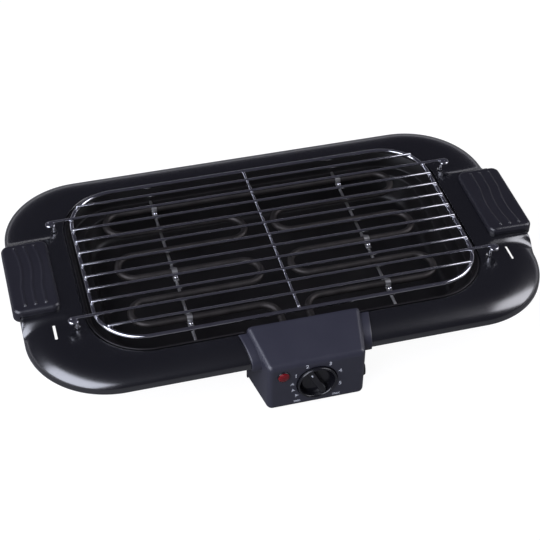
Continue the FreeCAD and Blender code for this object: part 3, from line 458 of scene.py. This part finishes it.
def bent(points, radii, arc=16):
    """A path through corner points, each inner corner taken in even turns along an arc of its radius."""
    points = np.asarray(points, float)
    path = [points[:1]]
    for before, corner, after, radius in zip(points, points[1:], points[2:], radii):
        arrive = (corner - before) / np.linalg.norm(corner - before)
        leave = (after - corner) / np.linalg.norm(after - corner)
        half = math.acos(np.clip(arrive @ leave, -1, 1)) / 2
        inward = (leave - arrive) / np.linalg.norm(leave - arrive)
        along = (leave + arrive) / np.linalg.norm(leave + arrive)
        angle = np.linspace(-half, half, arc + 1)[:, None]
        hub = corner + inward * radius / math.cos(half)
        path.append(hub - radius * (inward * np.cos(angle) - along * np.sin(angle)))
    path = np.concatenate(path + [points[-1:]])
    fresh = np.linalg.norm(np.diff(path, axis=0, prepend=path[:1] - 1), axis=1) > 1e-6
    return path[fresh]


def bar(path, radius, sides=16, loop=False):
    """A round bar: a circle carried square along a path. Unless the path is a loop, the circle shrinks near
    both ends in four steps. Its first direction is square to the path and to a slant that no path takes."""
    path = np.asarray(path, float)
    wide = np.ones(len(path))
    slant = (0.45, 0.5, 0.74)
    end_steps, end_widths = np.array(((0.0,), (0.12,), (0.45,), (1.0,))), (0.3, 0.6, 0.88, 1.0)
    if loop:
        tangent = np.roll(path, -1, 0) - np.roll(path, 1, 0)
    else:
        start, stop = path[1] - path[0], path[-1] - path[-2]
        soft = 0.8 * radius * end_steps
        path = np.concatenate((path[:1] + soft * start / np.linalg.norm(start), path[1:-1],
                               path[-1:] - soft[::-1] * stop / np.linalg.norm(stop)))
        wide = np.concatenate((end_widths, wide[1:-1], end_widths[::-1]))
        tangent = np.gradient(path, axis=0)
    tangent /= np.linalg.norm(tangent, axis=1)[:, None]
    side = np.cross(tangent, slant)
    side /= np.linalg.norm(side, axis=1)[:, None]
    up = np.cross(side, tangent)
    angle = np.linspace(0, 2 * math.pi, sides, endpoint=False)[:, None]
    circle = np.cos(angle) * side[:, None] + np.sin(angle) * up[:, None]
    return strips(path[:, None] + radius * wide[:, None, None] * circle, loop=loop, caps=not loop)


turns_x = (leg_x, bend_out, bend_in, bend_out, bend_in, bend_out)
corners = [(leg_x, leg_y)]
for y, start, stop in zip(rows_y, turns_x, turns_x[1:]):
    corners += [(start, y), (stop, y)]
corners.append((bend_out, rows_y[-1]))
half_path = np.array([(x, y + middle_y, element_z) for x, y in corners])
element_path = np.concatenate((half_path, half_path[::-1] * (-1, 1, 1)))
element_bends = [bend_r] * (len(element_path) - 2)
sheath = finish_of("element_sheath", (0.045, 0.041, 0.040), (0.085, 0.077, 0.074), (0.42, 0.58), clouds=60,
                   grains=1500, bump=0.15, Metallic=0.75)
fitted("element_tube", bar(bent(element_path, element_bends), tube_r, 20), sheath, "element_unit",
       ("heating_element",))
plain_steel = finish_of("plain_steel", (0.50, 0.50, 0.50), (0.63, 0.62, 0.60), (0.32, 0.48), clouds=120,
                        grains=1800, Metallic=1.0)
painted(zinc, "terminal_pins", "plate_screws")
painted(plain_steel, "mounting_plate")

# Rods, clips and studs: two plated wires lie across the tray's shoulder under the element. Sheet clips bent
# over the tube hold it to them, each fastened by a bright round-headed stud.
rod_middle, rod_size = middle_and_half("support_rod_right")
rod_x, rod_z = rod_middle[[0, 2]]
rod_r, rod_half = rod_size[:2]
clip_inner, clip_sheet, clip_gap, clip_reach, clip_half = 3.55, 0.7, 0.05, 10.25, 2.75
clip_rows = (0, 2, 5)
stud_r, stud_height, stud_middle, stud_y = 2.4, 2.0, 1.9, -7.25
for side, name in ((-1, "left"), (1, "right")):
    rod = bar([(side * rod_x, y + middle_y, rod_z) for y in np.linspace(-rod_half, rod_half, 5)], rod_r)
    fitted(f"element_rod_{name}", rod, plain_steel, "element_unit", (f"support_rod_{name}",))


def clip_face(radius, level):
    """One face of a clip's sheet: a flat foot, half a circle over the tube and another flat foot."""
    turn = np.linspace(math.pi, 0, 15)
    arch = radius * np.stack((np.cos(turn), np.sin(turn)), 1)
    front, back = ((-clip_reach, level), (-radius, level)), ((radius, level), (clip_reach, level))
    return np.concatenate((front, arch, back))


def clip_strip(place):
    """Sheet strip bent over the tube: the outline between its two faces, carried across its width."""
    foot = rod_z + rod_r + clip_gap - element_z
    under = clip_face(clip_inner, foot)
    over = clip_face(clip_inner + clip_sheet, foot + clip_sheet)
    loop = np.concatenate((under, over[::-1]))
    ring = np.concatenate((np.zeros((len(loop), 1)), loop), 1)
    width = np.array((-clip_half, clip_half))[:, None, None] * (1, 0, 0)
    return strips(np.asarray(place) + ring + width, caps=True)


clip_places = [(side * rod_x, rows_y[row] + middle_y, element_z) for side in (-1, 1) for row in clip_rows]
clips = [clip_strip(place) for place in clip_places]
fitted("tube_clips", joined(*clips), plain_steel, "element_unit", ("element_clips",), sharp=40)
chrome = finish_of("chrome_wire", (0.62, 0.62, 0.66), (0.76, 0.76, 0.79), (0.09, 0.16), clouds=130,
                   bump=0.04, Metallic=1.0)
turn = np.linspace(-0.9, 1.45, 12)
ball = np.stack((stud_r * np.cos(turn), stud_middle + stud_height * np.sin(turn)), 1)
ball = ball[ball[:, 1] > 0]
stud_foot = (0, stud_y, rod_z + rod_r + clip_gap + clip_sheet - element_z)
studs = [turned(ball, np.asarray(place) + stud_foot, (0, 0, 1), 24) for place in clip_places]
fitted("round_studs", joined(*studs), chrome, "element_unit", ("clip_studs",))

# Control box: a charcoal plastic moulding, hung in the rim's notch with a wing over the rim on each side.
# A flat cover closes its back; inside are the thermostat, the lamp, the terminals and their leads.
box_front, box_back = notch_front, notch_back
box_low, box_high = corners_of("control_box")[:, 2]
box_half, box_taper, box_fall, box_wall = corners_of("box_cover")[1, 0], notch_taper, 10.5, 2.5
box_round, inner_round, face_ring = 5.0, 0.3, 0.4
front_y, knob_z = box_front + middle_y, middle_and_half("knob")[0][2]
well_r, well_depth, well_wall, well_gap, neck_r = 20.1, 15.0, 2.0, 0.25, 5.3
lens_x, lens_z = middle_and_half("indicator_lens")[0][[0, 2]]
stem_r, stem_gap = 5.0, 0.1
hole_out, hole_in = -4.0, 6.0
wing_width = corners_of("control_box")[1, 0] - box_half
wing_under, wing_over, wing_turn = 0.3, 2.8, 1.535


def drawn_in(y):
    """The share of the box's depth that lies behind a place: 0 at its back, 1 at its front."""
    return (box_back - y) / (box_back - box_front)


def box_ring(y, inset):
    """A rounded rectangle across the box, drawn in by the inset. Its sides close in and its top falls evenly
    towards the front."""
    high = box_high - box_fall * drawn_in(y) - inset
    low = box_low + inset
    half = box_half - box_taper * drawn_in(y) - inset
    plan = outline((half, (high - low) / 2), max(box_round - inset, inner_round))[0]
    return np.stack((plan[:, 0], np.full(len(plan), y + middle_y), plan[:, 1] + (high + low) / 2), 1)


def box_wing(side):
    """A strip that saddles the rim's shoulder: up its edge, then over its quarter ellipse. At each place the
    strip's section, rounded at its free edge, stands square to the shoulder."""
    upright = np.linspace(rim_lip, rim_edge, 3, endpoint=False)
    turn = np.concatenate((np.zeros(len(upright)), np.linspace(0, wing_turn, 40)))
    y = -rim_half[1] + shoulder_run * (1 - np.cos(turn))
    z = rim_edge + shoulder_fall * np.sin(turn)
    z[:len(upright)] = upright
    facing = np.stack((-shoulder_fall * np.cos(turn), shoulder_run * np.sin(turn)), 1)
    facing /= np.linalg.norm(facing, axis=1)[:, None]
    angle = np.linspace(-math.pi / 2, math.pi / 2, 11)
    half = (wing_over - wing_under) / 2
    across = np.concatenate(((-box_wall,), wing_width - half + half * np.cos(angle), (-box_wall,)))
    off = wing_under + half + half * np.concatenate(((-1,), np.sin(angle), (1,)))
    x = side * (box_half - box_taper * drawn_in(y)[:, None] + across)
    back = y[:, None] + middle_y + facing[:, :1] * off
    up = z[:, None] + facing[:, 1:] * off
    return strips(np.stack((x, back, up), 2), caps=True)


charcoal = finish_of("box_plastic", (0.0330, 0.0330, 0.0480), (0.0400, 0.0400, 0.0575), (0.31, 0.38),
                     clouds=30, grains=2600, bump=0.12, specks=0.05, Specular_IOR_Level=0.75)
turn = np.linspace(0, math.pi / 2, 11)
front_round = np.stack((box_front + box_round * (1 - np.sin(turn)), box_round * (1 - np.cos(turn))), 1)
inside = ((box_front + box_wall, box_wall), (box_back, box_wall))
outside = ((box_back, 0), (box_front + box_round + 1, 0))
places = np.concatenate((inside, outside, front_round, ((box_front, box_round + face_ring),)))
shell = strips(np.stack([box_ring(*place) for place in places]), caps=True)
box = fitted("box_shell", shell, charcoal, "element_unit", ("control_box",), sharp=40)
holes = ((0, knob_z, well_r + well_gap), (lens_x, lens_z, stem_r + stem_gap))
bores = [turned(((r, hole_out), (r, hole_in)), (x, front_y, z), (0, 1, 0), 96) for x, z, r in holes]
punch(box, 40, *bores)
well_out, well_end = well_r + well_wall, well_depth + well_wall
well = ((well_r, well_depth), (well_r, 0.5), (well_r + 0.15, 0.2), (well_r + 0.5, 0.6), (well_out, 1.2),
        (well_out, well_end), (neck_r, well_end), (neck_r, well_depth))
fitted("box_well", turned(well, (0, front_y, knob_z), (0, 1, 0), 96, loop=True), charcoal, "element_unit")
fitted("box_wings", joined(box_wing(-1), box_wing(1)), charcoal, "element_unit")
painted(charcoal, "box_cover")
painted(zinc, "cover_screws", "neck_nut")
stoneware = finish_of("thermostat_ceramic", (0.74, 0.72, 0.66), (0.84, 0.82, 0.77), (0.55, 0.7), bump=0.15)
painted(stoneware, "thermostat")
natural = finish_of("block_plastic", (0.70, 0.69, 0.64), (0.78, 0.77, 0.72), (0.4, 0.5))
painted(natural, "terminal_block")
sleeve = finish_of("lead_sleeve", (0.70, 0.67, 0.60), (0.82, 0.80, 0.74), (0.7, 0.85), grains=3000,
                   bump=0.4)
painted(sleeve, "leads")
rubber = finish_of("bush_rubber", (0.018, 0.018, 0.018), (0.030, 0.029, 0.028), (0.7, 0.85), grains=2600,
                   bump=0.2)
painted(rubber, "cord_bush")

# Temperature dial: a dished charcoal moulding in a round well, with a grip bar across it and a white pip let
# into the bar's hollowed head. It is pressed on the thermostat's steel spindle.
dial_turn = math.radians(-27.0)
grip_half, grip_tail, grip_spread, grip_top, grip_foot = 17.0, 3.4, 1.0, 2.95, -7.5
tail_share, tail_drop, tail_blunt = 0.12, 2.6, 0.02
hollow_depth, hollow_half, hollow_start, hollow_run = 0.8, 2.0, 0.3, 0.3
pip_from, pip_to, pip_out, pip_r = 10.6, 13.0, 2.1, 0.8


def on_dial(part):
    """Turns points drawn on the dial's face (across, up, out) to the pointer's mark, in the well."""
    points, quads, caps = part
    x, up, out = points.T
    across = x * math.cos(dial_turn) + up * math.sin(dial_turn)
    rise = up * math.cos(dial_turn) - x * math.sin(dial_turn)
    return np.stack((across, front_y - out, knob_z + rise), 1), quads, caps


dial_profile = ((19.0, -10.0), (19.5, -9.4), (19.5, 1.2), (19.35, 2.0), (18.95, 2.65), (18.4, 2.95),
                (17.9, 2.9), (17.4, 2.5), (16.9, 1.4), (16.2, -1.2), (15.0, -3.6), (13.2, -5.0),
                (11.0, -5.8), (8.0, -6.0), (0, -6.0))


def eased(share):
    """From 0 to 1 in an S with level ends."""
    share = np.clip(share, 0, 1)
    return share * share * (3 - 2 * share)


def grip_bar():
    """Bar across the dish: a squarish arch whose width tapers to the tail, carried along the dial's face.
    Its top rounds over at the tail and is hollowed along its middle towards the head."""
    place = np.linspace(-grip_half, grip_half, 61)
    share = (place + grip_half) / (2 * grip_half)
    wide = (grip_tail + grip_spread * share) * np.sqrt(np.clip(share / tail_share, tail_blunt, 1))
    top = grip_top - tail_drop * np.clip(1 - share / tail_share, 0, 1) ** 2
    angle = np.linspace(0, math.pi, 41)
    arch = np.stack((np.sign(np.cos(angle)) * np.abs(np.cos(angle)) ** 0.6, np.sin(angle) ** 0.5), 1)
    x = wide[:, None] * arch[:, 0]
    out = grip_foot + (top[:, None] - grip_foot) * arch[:, 1]
    hollow = eased((share[:, None] - hollow_start) / hollow_run) * np.exp(-(x / hollow_half) ** 4)
    out -= hollow_depth * hollow
    along = np.broadcast_to(place[:, None], x.shape)
    return strips(np.stack((x, along, out), 2), caps=True)


dial_black = finish_of("dial_plastic", (0.0075, 0.0073, 0.0100), (0.0105, 0.0102, 0.0135), (0.17, 0.24),
                       clouds=60, grains=2200, bump=0.06, Specular_IOR_Level=0.7)
dial = joined(on_dial(turned(dial_profile, (0, 0, 0), (0, 0, 1), 96)), on_dial(grip_bar()))
fitted("dial_knob", dial, dial_black, "dial", ("knob",), sharp=45)
mark_white = finish_of("mark_paint", (0.80, 0.82, 0.86), (0.88, 0.90, 0.93), (0.5, 0.6), clouds=300,
                       bump=0.05)
pip_path = [(0, place, pip_out) for place in np.linspace(pip_from, pip_to, 4)]
fitted("dial_pointer", on_dial(bar(pip_path, pip_r)), mark_white, "dial")
painted(plain_steel, "spindle")

# Lamp: a dark red lens snapped into the panel, a plain round edge about a dome cut in flat facets, with a
# small glow lamp behind it.
lens_place = (lens_x, front_y, lens_z)
lens_edge = ((stem_r, -5.9), (stem_r, 0.02), (6.2, 0.02), (6.2, 0.7), (6.05, 1.0), (5.7, 1.15), (5.3, 1.0),
             (5.1, 0.5))
lens_dome = ((5.75, 0.3), (5.7, 1.0), (4.7, 1.9), (2.6, 2.6), (0, 2.75))
lens_red = finish_of("lens_red", (0.09, 0.003, 0.006), (0.34, 0.010, 0.018), (0.06, 0.10), clouds=500,
                     bump=0.3)
lens_ring = turned(lens_edge, lens_place, (0, -1, 0))
fitted("lens_ring", lens_ring, dial_black, "element_unit")
lens_cap = turned(lens_dome, lens_place, (0, -1, 0), 9)
fitted("lens_cap", lens_cap, lens_red, "element_unit", ("indicator_lens",), sharp=12)
lamp_glass = finish_of("lamp_glass", (0.85, 0.62, 0.45), (0.92, 0.72, 0.58), (0.05, 0.1), bump=0.02,
                       Transmission_Weight=0.6)
painted(lamp_glass, "lamp")

# Panel marks: white numbers 1 to 5, three small arrows and the words min and max, printed on the panel
# round the dial.
ink_half, ink_spread, ink_out = 0.04, 0.15, 0.03
number_size, number_ring = 6.0, 24.4
word_size, word_ring = 4.4, 28.5
arrow_ring, arrow_in, arrow_out = 24.2, 0.02, 0.06
dart = np.array(((2.3, 0), (-1.8, 2.0), (-1.0, 0), (-1.8, -2.0)))


def printed(name, words, size, angle, radius):
    """Flat letters, centred at an angle from the top, clockwise, and a radius from the dial's middle."""
    letters = bpy.data.curves.new(name, "FONT")
    letters.body, letters.size = words, size * mm
    letters.align_x, letters.align_y = "CENTER", "CENTER"
    letters.extrude, letters.offset = ink_half * mm, ink_spread * mm
    sample = bpy.data.objects.new(name, letters)
    mesh = bpy.data.meshes.new_from_object(sample)
    bpy.data.objects.remove(sample)
    lean = math.radians(angle)
    place = Vector((radius * math.sin(lean), front_y - ink_out, knob_z + radius * math.cos(lean))) * mm
    mesh.transform(Matrix.Translation(place) @ Matrix.Rotation(math.pi / 2, 4, "X"))
    mesh.materials.append(mark_white)
    piece = bpy.data.objects.new(name, mesh)
    bpy.context.scene.collection.objects.link(piece)
    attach(piece, "element_unit")


for words, angle in (("1", -59), ("2", -24), ("3", 31), ("4", 68), ("5", 109)):
    printed(f"mark_{words}", words, number_size, angle, number_ring)
printed("mark_min", "min", word_size, -138, word_ring)
printed("mark_max", "max", word_size, 137, word_ring)


def arrow(angle):
    """A flat dart that points clockwise round the dial, thin from back to front."""
    lean = math.radians(angle)
    ahead = np.array((math.cos(lean), -math.sin(lean)))
    out = np.array((math.sin(lean), math.cos(lean)))
    plan = dart[:, :1] * ahead + (dart[:, 1:] + arrow_ring) * out
    ring = np.stack((plan[:, 0], np.full(len(dart), front_y), plan[:, 1] + knob_z), 1)
    return strips(np.stack((ring + (0, arrow_in, 0), ring - (0, arrow_out, 0))), caps=True)


arrows = [arrow(angle) for angle in (-84, -104, -124)]
fitted("mark_arrows", joined(*arrows), mark_white, "element_unit")

# Rack: chrome-plated wire. A heavy loop carries eleven bars spot-welded across it. Two of them run on past
# the loop, curl into an eye and turn down into pegs, whose rounded feet stand in the rim's dimples. One bar
# lies across under the others.
loop_middle, loop_size = middle_and_half("rack_loop")
loop_z, loop_r = loop_middle[2], loop_size[2]
loop_half, loop_corner = loop_size[:2] - loop_r, 48.0
bars_middle, bars_size = middle_and_half("rack_bars")
bar_z, bar_r = bars_middle[2], bars_size[2]
bar_pitch, bar_over, bars_aside = 18.0, 0.6, 5
eye_end, eye_fill = peg_x + 2 * eye_r, (2.1, 1.3)
peg_z, peg_foot_r = 62.9, 1.7
loop_points = outline(loop_half, loop_corner)[0]
loop_path = np.concatenate((loop_points, np.full((len(loop_points), 1), loop_z)), 1) + (0, middle_y, 0)
fitted("rack_ring", bar(loop_path, loop_r, 18, loop=True), chrome, "rack", ("rack_loop",))
nugget = ((0, -0.9), (1.2, -0.75), (1.75, -0.3), (1.85, 0.1), (1.6, 0.6), (1.0, 0.9), (0, 1.0))
angle = np.linspace(-math.pi / 2, math.pi / 2, 13)
peg_foot = peg_foot_r * np.stack((np.cos(angle), 1 + np.sin(angle)), 1)
cross_bars, foot_bars, welds = [], [], []
for index in range(-bars_aside, bars_aside + 1):
    y = index * bar_pitch
    past = max(abs(y) - loop_half[1] + loop_corner, 0)
    half = loop_half[0] - loop_corner + math.sqrt(loop_corner ** 2 - past ** 2)
    welds += [turned(nugget, (sx * half, y + middle_y, bar_z - bar_r), (0, 0, 1), 16) for sx in (-1, 1)]
    if y in foot_bar_y:
        right = [(eye_end, y, bar_z), (eye_end, y - 2 * eye_r, bar_z), (peg_x, y - 2 * eye_r, bar_z),
                 (peg_x, y - eye_r, bar_z), (peg_x, y - eye_r, peg_z)]
        left = [(-px, py, pz) for px, py, pz in right]
        bends = [eye_r, eye_r, eye_r / 2, eye_r / 2]
        path = bent(np.array(left[::-1] + right) + (0, middle_y, 0), bends[::-1] + bends)
        foot_bars.append(bar(path, bar_r, 14))
        tips = [(sx * peg_x, y - eye_r + middle_y, peg_z) for sx in (-1, 1)]
        foot_bars += [turned(peg_foot, tip, (0, 0, 1), 20) for tip in tips]
        eyes = [(sx * (peg_x + eye_r), y - eye_r + middle_y, bar_z) for sx in (-1, 1)]
        foot_bars += [turned(np.array(nugget) * eye_fill, eye, (0, 0, 1), 20) for eye in eyes]
    else:
        path = [(share * (half + bar_over), y + middle_y, bar_z) for share in np.linspace(-1, 1, 7)]
        cross_bars.append(bar(path, bar_r, 14))
fitted("rack_cross_wires", joined(*cross_bars, *welds), chrome, "rack", ("rack_bars",))
fitted("rack_foot_wires", joined(*foot_bars), chrome, "rack", ("rack_foot_bars",))
under_middle, under_size = middle_and_half("rack_cross_bar")
path = [(0, y + middle_y, under_middle[2]) for y in np.linspace(-under_size[1], under_size[1], 5)]
fitted("rack_under_wire", bar(path, bar_r, 14), chrome, "rack", ("rack_cross_bar",))

# Studio: a pale floor that shows white, soft lamps at the left and the right, a white backdrop that darkens
# to a dim ceiling, and a camera at the photograph's angle.
floor_half, floor_shown, floor_mirrored = 12.0, 0.95, 0.06
wall_top, wall_front, wall_back, ceiling = 0.2, 0.3, 0.9, 0.06
floor_mesh = bpy.data.meshes.new("floor")
floor_corners = [(sx * floor_half, sy * floor_half, 0) for sx, sy in ((-1, -1), (1, -1), (1, 1), (-1, 1))]
floor_mesh.from_pydata(floor_corners, [], [(0, 1, 2, 3)])
floor = bpy.data.objects.new("floor", floor_mesh)
bpy.context.scene.collection.objects.link(floor)
pale = bpy.data.materials.new("pale_floor")
pale.use_nodes = True
nodes, link = pale.node_tree.nodes, pale.node_tree.links.new
shader = nodes["Principled BSDF"]
shader.inputs["Base Color"].default_value = (0.17, 0.17, 0.18, 1)
shader.inputs["Roughness"].default_value = 0.9
shader.inputs["Specular IOR Level"].default_value = 0.0
shader.inputs["Emission Color"].default_value = (1, 1, 1, 1)
seen = nodes.new("ShaderNodeLightPath")
through, shown, glow = (nodes.new("ShaderNodeMath") for i in range(3))
through.operation = "MAXIMUM"
shown.operation = glow.operation = "MULTIPLY_ADD"
shown.inputs[1].default_value, glow.inputs[1].default_value = floor_shown, floor_mirrored
shown.inputs[2].default_value = 0.0
link(seen.outputs["Is Glossy Ray"], through.inputs[0])
link(seen.outputs["Is Transmission Ray"], through.inputs[1])
link(seen.outputs["Is Camera Ray"], shown.inputs[0])
link(through.outputs["Value"], glow.inputs[0])
link(shown.outputs["Value"], glow.inputs[2])
link(glow.outputs["Value"], shader.inputs["Emission Strength"])
floor_mesh.materials.append(pale)

world = bpy.data.worlds.new("studio")
bpy.context.scene.world = world
world.use_nodes = True
nodes, link = world.node_tree.nodes, world.node_tree.links.new
where = nodes.new("ShaderNodeTexCoord")
parts = nodes.new("ShaderNodeSeparateXYZ")
rise, depth = nodes.new("ShaderNodeMapRange"), nodes.new("ShaderNodeMapRange")
rise.interpolation_type = depth.interpolation_type = "SMOOTHSTEP"
rise.inputs["From Min"].default_value, rise.inputs["From Max"].default_value = 0.0, wall_top
depth.inputs["From Min"].default_value, depth.inputs["From Max"].default_value = -0.7, 0.3
depth.inputs["To Min"].default_value, depth.inputs["To Max"].default_value = wall_front, wall_back
level = nodes.new("ShaderNodeMix")
level.inputs["B"].default_value = ceiling
link(where.outputs["Generated"], parts.inputs["Vector"])
link(parts.outputs["Z"], rise.inputs["Value"])
link(parts.outputs["Y"], depth.inputs["Value"])
link(rise.outputs["Result"], level.inputs["Factor"])
link(depth.outputs["Result"], level.inputs["A"])
link(level.outputs["Result"], nodes["Background"].inputs["Strength"])
tone = nodes.new("ShaderNodeMix")
tone.data_type = "RGBA"
tone.inputs["A"].default_value, tone.inputs["B"].default_value = (0.96, 0.96, 1, 1), (0.74, 0.73, 1, 1)
link(rise.outputs["Result"], tone.inputs["Factor"])
link(tone.outputs["Result"], nodes["Background"].inputs["Color"])


def soft_lamp(name, place, aim, size, power, tint):
    """A rectangular lamp that faces its aim."""
    light = bpy.data.lights.new(name, "AREA")
    light.shape, light.energy, light.color = "RECTANGLE", power, tint
    light.size, light.size_y = size
    lamp = bpy.data.objects.new(name, light)
    lamp.location = place
    lamp.rotation_euler = (Vector(aim) - Vector(place)).to_track_quat("-Z", "Y").to_euler()
    bpy.context.scene.collection.objects.link(lamp)


soft_lamp("left_lamp", (-1.02, -0.53, 0.86), (-0.2, -0.1, 0.05), (1.5, 1.2), 24, (0.84, 0.87, 1.0))
soft_lamp("right_lamp", (1.2, -0.2, 0.85), (0.25, -0.1, 0.05), (0.65, 1.2), 9, (0.92, 0.92, 1.0))

view = bpy.data.cameras.new("camera")
view.sensor_width, view.lens = 36.0, 94.1
view.clip_start, view.clip_end = 0.05, 50
camera = bpy.data.objects.new("camera", view)
bpy.context.scene.collection.objects.link(camera)
camera_place = (-0.29511, -1.02855, 1.00638)
sweep, lift, roll = math.radians(-15.9), math.radians(42.26), math.radians(1.053)
back = np.array((math.sin(sweep) * math.cos(lift), -math.cos(sweep) * math.cos(lift), math.sin(lift)))
right = np.array((math.cos(sweep), math.sin(sweep), 0.0))
up = np.cross(back, right)
pose = np.eye(4)
pose[:3, 0] = math.cos(roll) * right + math.sin(roll) * up
pose[:3, 1] = math.cos(roll) * up - math.sin(roll) * right
pose[:3, 2] = back
pose[:3, 3] = camera_place
camera.matrix_world = Matrix(pose.tolist())
bpy.context.scene.camera = camera
bpy.context.scene.view_settings.view_transform = "Standard"
